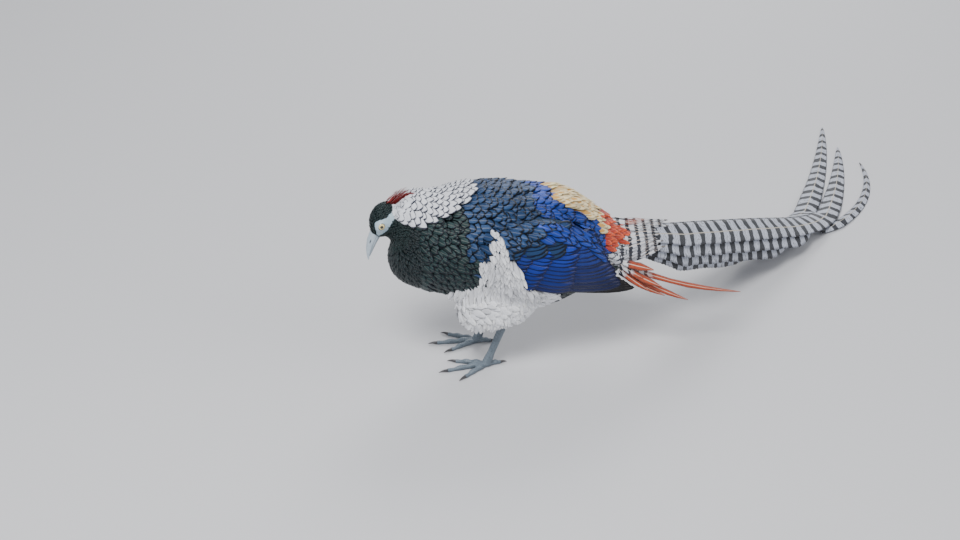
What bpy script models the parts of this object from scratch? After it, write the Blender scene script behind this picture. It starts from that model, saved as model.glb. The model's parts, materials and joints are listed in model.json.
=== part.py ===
"""Life-size model of a standing cock pheasant with a white cape and a long barred tail.

The bird faces -X with its left side towards -Y.  Its head is bowed with the bill down,
and its tail droops, swings towards its right and lies on the ground beyond the bend.
Sizes are in millimetres here and become metres when a mesh is made.
"""
import math

import bmesh
import bpy
import numpy as np
from mathutils import Matrix, Vector
from mathutils.bvhtree import BVHTree

MM = 0.001
GAP = 0.3
# Corners nearer to one another than this are one corner, in millimetres
WELD = 0.02

# Trunk sections from breast to tail root: x, height of centre, half height, half width
TRUNK_SECTIONS = (
    (-125, 129.0, 0.0, 0.0),
    (-122, 129.5, 14.0, 13.0),
    (-114, 131.0, 27.0, 25.0),
    (-102, 134.0, 38.0, 36.0),
    (-88, 138.0, 47.0, 44.0),
    (-60, 143.0, 60.0, 54.0),
    (-27, 140.0, 68.0, 60.0),
    (0, 133.0, 74.0, 63.0),
    (40, 129.0, 71.0, 61.0),
    (70, 130.0, 62.5, 55.0),
    (100, 124.0, 48.5, 43.0),
    (117, 120.5, 37.0, 33.0),
    (131, 119.0, 27.0, 25.0),
    (143, 118.5, 21.5, 21.0),
)
TRUNK_RINGS = 23
TRUNK_SIDES = 26

# Neck sections from inside the trunk to inside the head: x, z, radius above, below, beside
NECK_SECTIONS = (
    (-44, 154, 40, 34, 40),
    (-63, 160, 43, 44, 45),
    (-81, 168, 38, 45, 40),
    (-95, 176, 31, 40, 32),
    (-107, 183, 25, 31, 25),
    (-116, 189, 17, 20, 18),
)
NECK_RINGS = 11
NECK_SIDES = 22

# Head: centre of the skull, angle of its long axis below the horizontal, and sections
HEAD_CENTRE = (-125.0, 177.0)
HEAD_DIP = math.radians(60.0)
HEAD_SECTIONS = (
    (-21.0, 0.0, 0.0, 0.0),
    (-19.5, 6.0, 6.0, 6.0),
    (-13.0, 13.0, 12.0, 11.5),
    (-4.0, 16.5, 15.0, 14.5),
    (5.0, 16.0, 14.5, 15.0),
    (12.0, 13.0, 12.5, 12.5),
    (17.0, 10.0, 10.0, 9.8),
    (21.0, 7.6, 7.8, 7.4),
)
HEAD_RINGS = 12
HEAD_SIDES = 18

BILL_LENGTH = 30.0
BILL_BEND = math.radians(26.0)
BILL_UPPER_DEPTH = 6.6
BILL_LOWER_DEPTH = 4.4
BILL_HALF_WIDTH = 5.6
BILL_LOWER_SHARE = 0.88
NOSTRIL_SHARE = 0.34

EYE_RADIUS = 5.0
EYE_PLACE = (5.0, 3.5)
EYE_BULGE = 1.5
LID_STEPS = 12

# Folded wing seen from the side: x, middle height, half height, and distance off the spine
WING_OUTLINE = (
    (-36, 153.5, 7.0, 51.0),
    (-20, 155.0, 21.0, 54.0),
    (0, 152.5, 31.5, 58.0),
    (20, 148.0, 39.0, 59.0),
    (40, 145.5, 42.5, 58.0),
    (70, 138.5, 41.5, 54.5),
    (90, 126.0, 34.0, 49.0),
    (105, 113.5, 24.5, 44.5),
    (120, 95.0, 11.0, 39.5),
    (142, 81.5, 2.0, 33.0),
)

# Tiers of wing feathers, innermost first: count, roots of the first and last feather (x, z),
# tips of the first and last, width, height over the core at root and tip, rise, point
WING_TIERS = (
    (4, (66, 119), (38, 106), (116, 103), (141, 83), 8.5, -1.8, 0.6, 0.55, 0.55),
    (7, (46, 165), (24, 117), (93, 157), (123, 93), 15.5, -1.8, 3.2, 0.5, 0.9),
    (5, (27, 158), (-3, 123), (58, 149), (33, 108), 14.0, -1.6, 4.0, 1.0, 0.9),
    (4, (4, 159), (-17, 133), (24, 154), (2, 122), 14.0, -1.6, 3.4, 1.0, 0.95),
    (3, (-17, 159), (-30, 144), (0, 158), (-18, 134), 14.0, -1.6, 2.8, 1.0, 0.95),
    (4, (12, 169), (8, 160), (67, 169), (53, 154), 14.0, -1.6, 3.8, 0.8, 0.9),
)
WING_FEATHER = 0.7
WING_SLANT = 2.1

# Nape: the core about which the crest's places are measured, and the crest's tiers:
# lean of root and tip, height at the tip, width, and places beside the middle
NAPE_CORE = (-110.0, 181.0)
CREST_TIERS = (
    (-22.0, 25.0, 8.0, 3.9, (-4.9, 0.2, 5.1)),
    (-33.0, 13.0, 9.5, 4.6, (-2.7, 2.9)),
    (-45.0, -2.0, 8.5, 5.2, (-3.6, 3.3)),
)

# Long tail coverts: the pad they grow from, and each one's root, tip, sag and width on the
# near side, or its place down the tail's slope, lift, length and width on the far side
COVERT_PAD = (134.0, 23.0, 106.0)
COVERTS_LEFT = (
    ((130.0, -27.5, 111.0), (163.0, -35.0, 102.0), 0.0, 10.0),
    ((132.0, -28.0, 105.0), (172.0, -38.0, 82.0), 1.5, 10.0),
    ((133.0, -26.5, 101.0), (202.0, -39.0, 63.0), 3.0, 9.0),
    ((131.0, -25.0, 106.0), (262.0, -38.0, 66.0), 6.0, 9.0),
)
COVERTS_RIGHT = (
    (14.0, 6.5, 62.0, 10.0),
    (22.0, 5.0, 88.0, 10.0),
    (31.0, 5.5, 118.0, 10.0),
    (39.0, 4.0, 78.0, 9.0),
)

# Legs: foot under the hock, joint of the toes at the ground, and the tarsus
FOOT_PLACE = (-21.0, 27.0)
HOCK_PLACE = (5.0, 31.0, 70.0)
TARSUS_RADIUS = 4.3
TOE_RADIUS = 3.6
TOES = (
    ("inner", 24.0, 34.0),
    ("middle", -6.0, 44.0),
    ("outer", -38.0, 35.0),
    ("hind", 172.0, 16.0),
)
CLAW_LENGTH = 10.0

# Tail ridge: distance along it, turn to the bird's right, and descent, in degrees
TAIL_ROOT = (137.0, 0.0, 138.0)
TAIL_COURSE = (
    (0, 8, 3),
    (25, 22, 10),
    (65, 37, 18),
    (200, 38, 19),
    (320, 41, 21),
    (380, 46, 17),
    (425, 56, 5),
    (460, 64, 0),
)
TAIL_LENGTHS = (("tail_base", 0.0, 140.0), ("tail_middle", 140.0, 285.0), ("tail_bend", 285.0, 420.0))
# Pairs of tail feathers, the long middle pair first: where each ends, and its half width
TAIL_PAIRS = ((520, 28.5), (386, 40.0), (336, 48.5), (262, 53.0))
TAIL_FAN = math.radians(7.5)
TAIL_FEATHER = 0.9
KEEL_INSET = 0.5
# Free ends on the ground: place beside the ridge, start along it, heading, bend, length,
# width and lift
TAIL_TIPS = (
    ("tail_tip_left", 13.8, 420.0, 60.0, 13.0, 227.0, 27.0, 2.6),
    ("tail_tip_right", -13.8, 420.0, 60.5, 11.0, 283.0, 27.0, 2.6),
    ("tail_side_left", 22.5, 384.0, 30.3, 56.0, 234.5, 16.0, 2.2),
)
TAIL_DROOP = ((0, 52), (200, 47), (320, 36), (400, 18), (425, 13))


def smooth(points):
    """Return a monotone cubic through the points, one output for each further column."""
    table = np.array(points, dtype=float)
    xs, ys = table[:, 0], table[:, 1:]
    step = np.diff(xs)[:, None]
    slope = np.diff(ys, axis=0) / step
    tangent = np.zeros_like(ys)
    tangent[0], tangent[-1] = slope[0], slope[-1]
    before, after = slope[:-1], slope[1:]
    same = before * after > 0
    mean = 2 * before * after / np.where(same, before + after, 1.0)
    tangent[1:-1] = np.where(same, mean, 0.0)

    def value(x):
        x = min(max(x, xs[0]), xs[-1])
        i = min(int(np.searchsorted(xs, x, side="right")) - 1, len(xs) - 2)
        h = xs[i + 1] - xs[i]
        t = (x - xs[i]) / h
        out = ((1 + 2 * t) * (1 - t) ** 2 * ys[i] + t * (1 - t) ** 2 * h * tangent[i]
               + t * t * (3 - 2 * t) * ys[i + 1] + t * t * (t - 1) * h * tangent[i + 1])
        return out if len(out) > 1 else float(out[0])

    return value


def finish_material(obj, colour, roughness, metallic=0.0):
    """Give the piece its own plain coat of colour."""
    material = bpy.data.materials.new(obj.name)
    material.use_nodes = True
    shader = material.node_tree.nodes["Principled BSDF"]
    shader.inputs["Base Color"].default_value = (*colour, 1.0)
    shader.inputs["Roughness"].default_value = roughness
    shader.inputs["Metallic"].default_value = metallic
    obj.data.materials.clear()
    obj.data.materials.append(material)


def make_object(name, points, faces):
    """Make a mesh object from points in millimetres, with its faces turned outwards."""
    mesh = bpy.data.meshes.new(name)
    mesh.from_pydata([tuple(c * MM for c in p) for p in points], [], faces)
    body = bmesh.new()
    body.from_mesh(mesh)
    bmesh.ops.recalc_face_normals(body, faces=body.faces)
    bmesh.ops.triangulate(body, faces=[f for f in body.faces if len(f.verts) > 3])
    if body.calc_volume(signed=True) < 0:
        bmesh.ops.reverse_faces(body, faces=body.faces)
    body.to_mesh(mesh)
    body.free()
    obj = bpy.data.objects.new(name, mesh)
    bpy.context.scene.collection.objects.link(obj)
    return obj


def loft(name, rings, first_pole=None, last_pole=None):
    """Skin a row of like rings; a pole closes an end to a point, otherwise a flat cap."""
    count = len(rings[0])
    points = [p for ring in rings for p in ring]
    faces = []
    for i in range(len(rings) - 1):
        for j in range(count):
            k = (j + 1) % count
            a, b = i * count + j, i * count + k
            c, d = (i + 1) * count + k, (i + 1) * count + j
            faces += [(a, b, c), (a, c, d)]
    for pole, start in ((first_pole, 0), (last_pole, (len(rings) - 1) * count)):
        if pole is None:
            ring = rings[0] if start == 0 else rings[-1]
            pole = tuple(np.mean(np.array(ring), axis=0))
        points.append(pole)
        centre = len(points) - 1
        faces += [(start + j, start + (j + 1) % count, centre) for j in range(count)]
    return make_object(name, points, faces)


def apply_boolean(obj, operation, other=None, group=None, solver="EXACT"):
    """Join or cut with one object or a whole collection, and remove what was used."""
    modifier = obj.modifiers.new("cut", "BOOLEAN")
    modifier.operation = operation
    modifier.solver = solver
    if group is None:
        modifier.object = other
    else:
        modifier.operand_type = "COLLECTION"
        modifier.collection = group
    bpy.ops.object.select_all(action="DESELECT")
    bpy.context.view_layer.objects.active = obj
    obj.select_set(True)
    bpy.ops.object.modifier_apply(modifier=modifier.name)
    if group is not None:
        for piece in list(group.objects):
            bpy.data.objects.remove(piece)
        bpy.data.collections.remove(group)


def swollen(obj, grow=GAP):
    """Return a copy whose surface stands off the original by the given clearance."""
    copy = obj.copy()
    copy.data = obj.data.copy()
    bpy.context.scene.collection.objects.link(copy)
    body = bmesh.new()
    body.from_mesh(copy.data)
    body.normal_update()
    moves = [v.normal * (grow * MM * v.calc_shell_factor()) for v in body.verts]
    for vert, move in zip(body.verts, moves):
        vert.co += move
    body.to_mesh(copy.data)
    body.free()
    return copy


def cut_clear(obj, *others, grow=GAP):
    """Cut the piece back so that it meets each of the others with the usual clearance."""
    for other in others:
        cutter = swollen(other, grow)
        apply_boolean(obj, "DIFFERENCE", cutter)
        bpy.data.objects.remove(cutter)
    keep_largest(obj)


def keep_largest(obj):
    """Keep only the largest closed surface of the piece."""
    body = bmesh.new()
    body.from_mesh(obj.data)
    bmesh.ops.remove_doubles(body, verts=body.verts, dist=WELD * MM)
    bmesh.ops.dissolve_degenerate(body, edges=body.edges, dist=WELD * MM / 4)
    body.verts.index_update()
    pairs = {}
    for face in body.faces:
        pairs.setdefault(frozenset(v.index for v in face.verts), []).append(face)
    folded = [f for same in pairs.values() if len(same) > 1 for f in same]
    bmesh.ops.delete(body, geom=folded, context="FACES")
    bmesh.ops.delete(body, geom=[e for e in body.edges if e.is_wire], context="EDGES")
    left = set(body.faces)
    shells = []
    while left:
        stack = [left.pop()]
        shell = []
        while stack:
            face = stack.pop()
            shell.append(face)
            for edge in face.edges:
                for near in edge.link_faces:
                    if near in left:
                        left.discard(near)
                        stack.append(near)
        shells.append(shell)
    if len(shells) > 1:
        def size(shell):
            corners = np.array([v.co for f in shell for v in f.verts])
            return float(np.linalg.norm(corners.max(axis=0) - corners.min(axis=0)))
        largest = max(shells, key=size)
        keep = set(largest)
        bmesh.ops.delete(body, geom=[f for f in body.faces if f not in keep], context="FACES")
    bmesh.ops.triangulate(body, faces=[f for f in body.faces if len(f.verts) > 3])
    body.to_mesh(obj.data)
    body.free()


def fuse(core, pieces, solver="EXACT"):
    """Join closed pieces to the core in one union."""
    group = bpy.data.collections.new(core.name + "_pieces")
    bpy.context.scene.collection.children.link(group)
    for piece in pieces:
        bpy.context.scene.collection.objects.unlink(piece)
        group.objects.link(piece)
    apply_boolean(core, "UNION", group=group, solver=solver)
    keep_largest(core)
    return core


trunk_at = smooth(TRUNK_SECTIONS)
neck_at = smooth([(i, *row) for i, row in enumerate(NECK_SECTIONS)])
head_at = smooth(HEAD_SECTIONS)
HEAD_AXIS = Vector((-math.cos(HEAD_DIP), 0.0, -math.sin(HEAD_DIP)))
HEAD_UP = Vector((-math.sin(HEAD_DIP), 0.0, math.cos(HEAD_DIP)))


def trunk_ring(x, sides):
    """Return the trunk's oval at a place along its length."""
    centre, high, wide = trunk_at(x)
    turns = [2 * math.pi * k / sides for k in range(sides)]
    return [(x, wide * math.sin(t), centre + high * math.cos(t)) for t in turns]


def build_torso(sides=TRUNK_SIDES, rings=TRUNK_RINGS, name="torso"):
    """Loft the feathered trunk from the breast to the root of the tail."""
    first, last = TRUNK_SECTIONS[0][0], TRUNK_SECTIONS[-1][0]
    places = [first + (last - first) * (0.55 * (i / rings) + 0.45 * (i / rings) ** 2)
              for i in range(1, rings + 1)]
    places.insert(0, first + 1.2)
    nose = (first, 0.0, TRUNK_SECTIONS[0][1])
    return loft(name, [trunk_ring(x, sides) for x in places], first_pole=nose)


def neck_ring(place, sides):
    """Return the neck's ring, which is deeper on its throat side than on its nape."""
    x, z, above, below, beside = neck_at(place)
    ahead = neck_at(min(place + 0.05, len(NECK_SECTIONS) - 1))
    behind = neck_at(max(place - 0.05, 0))
    along = Vector((ahead[0] - behind[0], 0.0, ahead[1] - behind[1])).normalized()
    up = Vector((-along.z, 0.0, along.x))
    if up.z < 0:
        up = -up
    ring = []
    for k in range(sides):
        turn = 2 * math.pi * k / sides
        rise = above if math.cos(turn) > 0 else below
        point = Vector((x, 0.0, z)) + up * (rise * math.cos(turn))
        ring.append((point.x, beside * math.sin(turn), point.z))
    return ring


def build_neck(sides=NECK_SIDES, rings=NECK_RINGS, name="neck"):
    """Loft the short, arched neck between trunk and head."""
    last = len(NECK_SECTIONS) - 1
    return loft(name, [neck_ring(last * i / rings, sides) for i in range(rings + 1)])


def head_point(along, up, side):
    """Return a point given along the skull's axis, towards its crown and to its side."""
    base = Vector((HEAD_CENTRE[0], 0.0, HEAD_CENTRE[1]))
    point = base + HEAD_AXIS * along + HEAD_UP * up
    return (point.x, side, point.z)


def head_ring(place, sides):
    """Return the skull's ring at a place along its axis."""
    above, below, beside = head_at(place)
    ring = []
    for k in range(sides):
        turn = 2 * math.pi * k / sides
        rise = above if math.cos(turn) > 0 else below
        ring.append(head_point(place, rise * math.cos(turn), beside * math.sin(turn)))
    return ring


def build_head_form(sides=HEAD_SIDES, rings=HEAD_RINGS, name="head"):
    """Loft the skull with its close feathering, without eyes."""
    first, last = HEAD_SECTIONS[0][0], HEAD_SECTIONS[-1][0]
    places = [first + 0.5 + (last - first - 0.5) * i / rings for i in range(rings + 1)]
    return loft(name, [head_ring(t, sides) for t in places], first_pole=head_point(first, 0, 0))


def ball(name, centre, radius, stretch=(1, 1, 1), segments=16, rings=10):
    """Make a closed ball, stretched along the axes if wanted."""
    body = bmesh.new()
    bmesh.ops.create_uvsphere(body, u_segments=segments, v_segments=rings, radius=radius * MM)
    bmesh.ops.transform(body, matrix=Matrix.Diagonal((*stretch, 1.0)), verts=body.verts)
    bmesh.ops.translate(body, vec=Vector(centre) * MM, verts=body.verts)
    bmesh.ops.triangulate(body, faces=body.faces)
    mesh = bpy.data.meshes.new(name)
    body.to_mesh(mesh)
    body.free()
    obj = bpy.data.objects.new(name, mesh)
    bpy.context.scene.collection.objects.link(obj)
    return obj


def eye_centre(side):
    """Return the middle of the eye on one side, -1 for the bird's left."""
    along, up = EYE_PLACE
    beside = head_at(along)[2]
    return head_point(along, up, side * (beside + EYE_BULGE - EYE_RADIUS))


def lid_ring(side):
    """Make the raised rim of lid and bare skin round one eye."""
    centre = Vector(eye_centre(side))
    out = Vector((0.0, side, 0.0))
    across = HEAD_AXIS
    upward = HEAD_UP
    rim, thick = EYE_RADIUS * 0.98, 1.15
    rings = []
    for i in range(LID_STEPS):
        turn = 2 * math.pi * i / LID_STEPS
        spoke = across * (math.cos(turn) * 1.12) + upward * (math.sin(turn) * 0.9)
        middle = centre + spoke * rim + out * (EYE_RADIUS - EYE_BULGE - 1.0)
        rings.append([tuple(middle + spoke * (thick * math.cos(a)) + out * (thick * math.sin(a)))
                      for a in (2 * math.pi * k / 5 for k in range(5))])
    points = [p for ring in rings for p in ring]
    faces = []
    for i in range(LID_STEPS):
        beyond = (i + 1) % LID_STEPS
        for k in range(5):
            a, b = i * 5 + k, i * 5 + (k + 1) % 5
            c, d = beyond * 5 + (k + 1) % 5, beyond * 5 + k
            faces += [(a, b, c), (a, c, d)]
    return make_object("lid", points, faces)


def bill_frame(share):
    """Return a place on the mouth line, the way it runs there and its upward side."""
    start = Vector(head_point(HEAD_SECTIONS[-1][0] - 4.0, -0.6, 0.0))
    steps = 24
    here = start.copy()
    reach = (BILL_LENGTH + 4.0) * share
    for i in range(steps):
        turn = HEAD_DIP + BILL_BEND * ((i + 0.5) / steps) * share
        here += Vector((-math.cos(turn), 0.0, -math.sin(turn))) * (reach / steps)
    turn = HEAD_DIP + BILL_BEND * share
    along = Vector((-math.cos(turn), 0.0, -math.sin(turn)))
    up = Vector((-math.sin(turn), 0.0, math.cos(turn)))
    return here, along, up


def bill_half(name, upward, length_share):
    """Loft one half of the bill: a half round over the flat mouth line."""
    depth = BILL_UPPER_DEPTH if upward else BILL_LOWER_DEPTH
    sign = 1.0 if upward else -1.0
    rings = []
    places = [0.0, 0.14, 0.28, 0.42, 0.56, 0.7, 0.82, 0.92, 0.985]
    for part in places:
        share = part * length_share
        here, _, up = bill_frame(share)
        taper = (1 - part ** 1.7) ** 0.8
        high = 0.7 + depth * taper
        wide = 0.6 + BILL_HALF_WIDTH * taper
        ring = [here + Vector((0, wide, 0)) + up * (sign * GAP / 2)]
        for k in range(1, 8):
            turn = math.pi * k / 8
            ring.append(here + Vector((0, wide * math.cos(turn), 0))
                        + up * (sign * (GAP / 2 + high * math.sin(turn))))
        ring.append(here + Vector((0, -wide, 0)) + up * (sign * GAP / 2))
        rings.append([tuple(p) for p in ring])
    here, along, up = bill_frame(length_share)
    tip = here + along * 0.8 + up * (sign * (GAP / 2 + 0.25))
    return loft(name, rings, last_pole=tuple(tip))


def cut_nostrils(upper):
    """Cut a slit of a nostril into each side of the upper half of the bill."""
    here, along, up = bill_frame(NOSTRIL_SHARE)
    for side in (-1, 1):
        centre = here + up * (BILL_UPPER_DEPTH * 0.55) + Vector((0, side * 5.4, 0))
        rings = []
        for part in (-0.8, -0.3, 0.3, 0.8):
            size = math.sqrt(1 - part * part)
            rings.append([tuple(centre + along * (2.3 * part) + up * (0.75 * size * math.cos(t))
                                + Vector((0, 1.7 * size * math.sin(t), 0)))
                          for t in (2 * math.pi * k / 6 for k in range(6))])
        slit = loft("slit", rings)
        apply_boolean(upper, "DIFFERENCE", slit)
        bpy.data.objects.remove(slit)
    keep_largest(upper)


def slab(name, top, low):
    """Close two like grids of points, one over the other, into a thin solid.

    Both faces are split along the same diagonals, so that a bent sheet stays even.
    """
    rows, count = len(top), len(top[0])
    points = [tuple(p) for row in top for p in row] + [tuple(p) for row in low for p in row]
    under = rows * count
    faces = []
    for i in range(rows - 1):
        for j in range(count - 1):
            for base in (0, under):
                a, b = base + i * count + j, base + i * count + j + 1
                faces += [(a, b, b + count), (a, b + count, a + count)]
    border = [j for j in range(count)] + [i * count + count - 1 for i in range(1, rows)]
    border += [(rows - 1) * count + j for j in range(count - 2, -1, -1)]
    border += [i * count for i in range(rows - 2, 0, -1)]
    for here, there in zip(border, border[1:] + border[:1]):
        faces += [(here, there, there + under), (here, there + under, here + under)]
    return make_object(name, points, faces)


def blade(rows, thick, name="vane"):
    """Make a thin closed vane from rows of points across it, with a normal for each row."""
    top = [[Vector(p) + Vector(normal) * (thick / 2) for p in across] for across, normal in rows]
    low = [[Vector(p) - Vector(normal) * (thick / 2) for p in across] for across, normal in rows]
    return slab(name, top, low)


wing_at = smooth(WING_OUTLINE)
wing_core_share = smooth([(-36, 1.0), (-10, 0.93), (60, 0.84), (104, 0.7)])


def wing_base(x, z):
    """Return how far off the spine the wing's plane lies, never inside the flank."""
    centre, high, wide = trunk_at(x)
    flank = wide * math.sqrt(max(0.0, 1.0 - ((z - centre) / high) ** 2))
    middle, _, plate = wing_at(x)
    drop = (z - middle) / 42.0
    plate -= (19.0 if drop > 0 else 7.0) * drop * drop
    spread = flank - plate
    return 0.5 * (flank + plate + math.sqrt(spread * spread + 60.0))


def wing_point(x, z, height, side):
    """Return a point at a height square to the wing's plane."""
    out = wing_base(x, z)
    slope_x = wing_base(x + 1.0, z) - out
    slope_z = wing_base(x, z + 1.0) - out
    normal = Vector((-slope_x, 1.0, -slope_z)).normalized()
    return (x + normal.x * height, side * (out + normal.y * height), z + normal.z * height)


def vane_outline(part, point):
    """Return the share of its full width that a feather has along its length."""
    root = 0.45 + 0.55 * min(1.0, part / 0.45) ** 0.8
    tip = max(0.0, (part - 0.6) / 0.4)
    return root * (1 - point * tip ** (2.6 if point > 0.7 else 1.5))


def wing_vane(side, root, tip, width, low, high, rise, point):
    """Make one wing feather that overlaps the one below it like a slat."""
    run = Vector((tip[0] - root[0], tip[1] - root[1]))
    across = Vector((-run.y, run.x)).normalized() * (width / 2)
    top, under = [], []
    for part in (0.0, 0.4, 0.72, 0.91, 1.0):
        share = vane_outline(part, point)
        height = low + (high - low) * min(1.0, part / rise)
        rows = ([], [])
        for edge in (-1.0, 1.0):
            x = root[0] + run.x * part + across.x * edge * share
            z = root[1] + run.y * part + across.y * edge * share
            level = height - edge * share * WING_SLANT / 2
            rows[0].append(wing_point(x, z, level + WING_FEATHER / 2, side))
            rows[1].append(wing_point(x, z, level - WING_FEATHER / 2, side))
        top.append(rows[0])
        under.append(rows[1])
    return slab("vane", top, under)


def build_wing(side, name, trunk):
    """Make the folded wing: a core against the flank and tiers of feathers over it."""
    rings = []
    places = [-35.0 + 138.0 * (0.5 - 0.5 * math.cos(math.pi * i / 7)) for i in range(8)]
    for x in places:
        middle, half, _ = wing_at(x)
        half *= wing_core_share(x)
        depth = 3.0 + 9.0 * (half / 33.0)
        ring = []
        for k in range(8):
            turn = 2 * math.pi * k / 8
            height = -0.4 + 0.9 * math.sin(turn)
            if math.sin(turn) < 0:
                height = -0.4 + depth * math.sin(turn)
            ring.append(wing_point(x, middle + half * math.cos(turn), height, side))
        rings.append(ring)
    wing = loft(name, rings)
    vanes = []
    for count, root_a, root_b, tip_a, tip_b, width, low, high, rise, point in WING_TIERS:
        for k in range(count):
            part = k / (count - 1)
            root = Vector(root_a).lerp(Vector(root_b), part)
            tip = Vector(tip_a).lerp(Vector(tip_b), part)
            vanes.append(wing_vane(side, root, tip, width, low, high, rise, point))
    fuse(wing, vanes)
    cut_clear(wing, trunk)
    return wing


tail_droop = smooth(TAIL_DROOP)


def tail_course():
    """Walk along the tail's ridge and return its places and headings."""
    heading = smooth(TAIL_COURSE)
    place = Vector(TAIL_ROOT)
    walk = []
    for s in range(0, 461):
        turn, dip = (math.radians(v) for v in heading(s))
        along = Vector((math.cos(turn) * math.cos(dip), math.sin(turn) * math.cos(dip),
                        -math.sin(dip)))
        walk.append((place.copy(), along))
        place = place + along
    return walk


TAIL_WALK = tail_course()


def tail_frame(s):
    """Return the ridge's place, its heading, the way to the bird's left, and up."""
    i = min(int(s), len(TAIL_WALK) - 2)
    part = s - i
    place = TAIL_WALK[i][0].lerp(TAIL_WALK[i + 1][0], part)
    along = TAIL_WALK[i][1].lerp(TAIL_WALK[i + 1][1], part).normalized()
    left = along.cross(Vector((0, 0, 1))).normalized()
    up = left.cross(along).normalized()
    return place, along, left, up


def tail_point(s, out, droop, lift, side):
    """Return a point on a web that slopes down from the ridge to one side."""
    place, _, left, up = tail_frame(s)
    away = left * (math.cos(droop) * (1 if side < 0 else -1)) - up * math.sin(droop)
    normal = left * (math.sin(droop) * (1 if side < 0 else -1)) + up * math.cos(droop)
    return place + away * out + normal * lift, normal


def tail_plate(side, pair, first, last):
    """Make the part of one side's feather of a pair that lies between two places."""
    end, width = TAIL_PAIRS[pair]
    last = min(last, end)
    inset = 0.06 * pair + (0.03 if side > 0 else 0.0)
    first, last = first + inset, last - inset
    count = max(3, round((last - first) / 27))
    top, low = [], []
    for i in range(count + 1):
        s = first + (last - first) * i / count
        droop = math.radians(tail_droop(s)) + TAIL_FAN * pair
        taper = max(0.0, (s - (end - 75.0)) / 75.0)
        spread = 0.36 + 0.64 * min(1.0, s / 85.0) ** 0.8
        wide = 5.0 + (width - 5.0) * spread * (1 - taper ** 2.2)
        top.append([tail_point(s, out, droop, 0.0, side)[0] for out in (1.6, wide)])
        low.append([tail_point(s, out, droop, -TAIL_FEATHER, side)[0] for out in (1.6, wide)])
    return slab("vane", top, low)


def tail_length(name, first, last):
    """Make one length of the tail: a keel at its ridge and the pairs that hang from it."""
    rings, middles = [], []
    first, last = first + KEEL_INSET, last - KEEL_INSET
    count = round((last - first) / 27)
    for i in range(count + 1):
        s = first + (last - first) * i / count
        droop = math.radians(tail_droop(s))
        place, _, left, up = tail_frame(s)
        deep = 9.5 - 6.0 * s / 420
        ring = [tail_point(s, 4.5, droop, 0.35, -1)[0], place + up * 0.5,
                tail_point(s, 4.5, droop, 0.35, 1)[0]]
        reach = 3.2 * math.cos(droop)
        ring += [place - left * reach - up * (deep * 0.85), place - up * deep,
                 place + left * reach - up * (deep * 0.85)]
        rings.append([tuple(p) for p in ring])
        middles.append(tuple(place - up * (deep * 0.45)))
    keel = loft(name, rings, first_pole=middles[0], last_pole=middles[-1])
    vanes = [tail_plate(side, pair, first - KEEL_INSET, last + KEEL_INSET)
             for pair in range(len(TAIL_PAIRS)) if TAIL_PAIRS[pair][0] > first + 25
             for side in (-1, 1)]
    return fuse(keel, vanes)


def floor_vane(name, start, heading, bend, length, width, base, thick=1.0, lead=3.0):
    """Make one long tail feather that lies along the ground from the end of the sheaf."""
    place = Vector((start[0], start[1], 0.0))
    turn = math.radians(heading)
    rows = []
    steps = 12
    for i in range(steps + 1):
        part = i / steps
        along = Vector((math.cos(turn), math.sin(turn), 0.0))
        left = Vector((math.sin(turn), -math.cos(turn), 0.0))
        half = width / 2 * min(1.0, (1.02 - part) ** 0.62 * 1.12)
        level = base * max(0.0, 1 - part * 2.4) + thick / 2
        ridge = lead * (half * 2 / width)
        across = [place + left * half + Vector((0, 0, level)),
                  place + Vector((0, 0, level + ridge)),
                  place - left * half + Vector((0, 0, level))]
        rows.append(([tuple(p) for p in across], (0, 0, 1)))
        place = place + along * (length / steps)
        turn += math.radians(bend) / steps
    return blade(rows, thick, name)


def tube(name, stations, sides=10, floor=None):
    """Loft a round limb through places with radii; a floor flattens its under side."""
    rings = []
    for i, (place, radius) in enumerate(stations):
        ahead = Vector(stations[min(i + 1, len(stations) - 1)][0])
        behind = Vector(stations[max(i - 1, 0)][0])
        along = (ahead - behind).normalized()
        beside = along.cross(Vector((0, 0, 1)))
        if beside.length < 0.2:
            beside = Vector((0, 1, 0))
        beside.normalize()
        upward = beside.cross(along).normalized()
        ring = []
        for k in range(sides):
            turn = 2 * math.pi * (k + 0.5) / sides
            point = (Vector(place) + beside * (radius * math.cos(turn))
                     + upward * (radius * math.sin(turn)))
            if floor is not None:
                point.z = max(point.z, floor)
            ring.append(tuple(point))
        rings.append(ring)
    return loft(name, rings)


def toe_path(side, bearing, length):
    """Return the stations of one toe from the joint of the toes to its claw."""
    foot = Vector((FOOT_PLACE[0], side * FOOT_PLACE[1], 0.0))
    turn = math.radians(180.0 + side * bearing)
    along = Vector((math.cos(turn), math.sin(turn), 0.0))
    stations = []
    for part in (0.0, 0.17, 0.33, 0.5, 0.67, 0.83, 1.0):
        pad = 1.0 + 0.12 * math.cos(part * 2 * math.pi * 3)
        radius = TOE_RADIUS * (1.0 - 0.42 * part) * pad
        height = radius * 0.72 + 0.8 * math.sin(math.pi * part)
        stations.append((foot + along * (length * part) + Vector((0, 0, height)), radius))
    return stations, along


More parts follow.
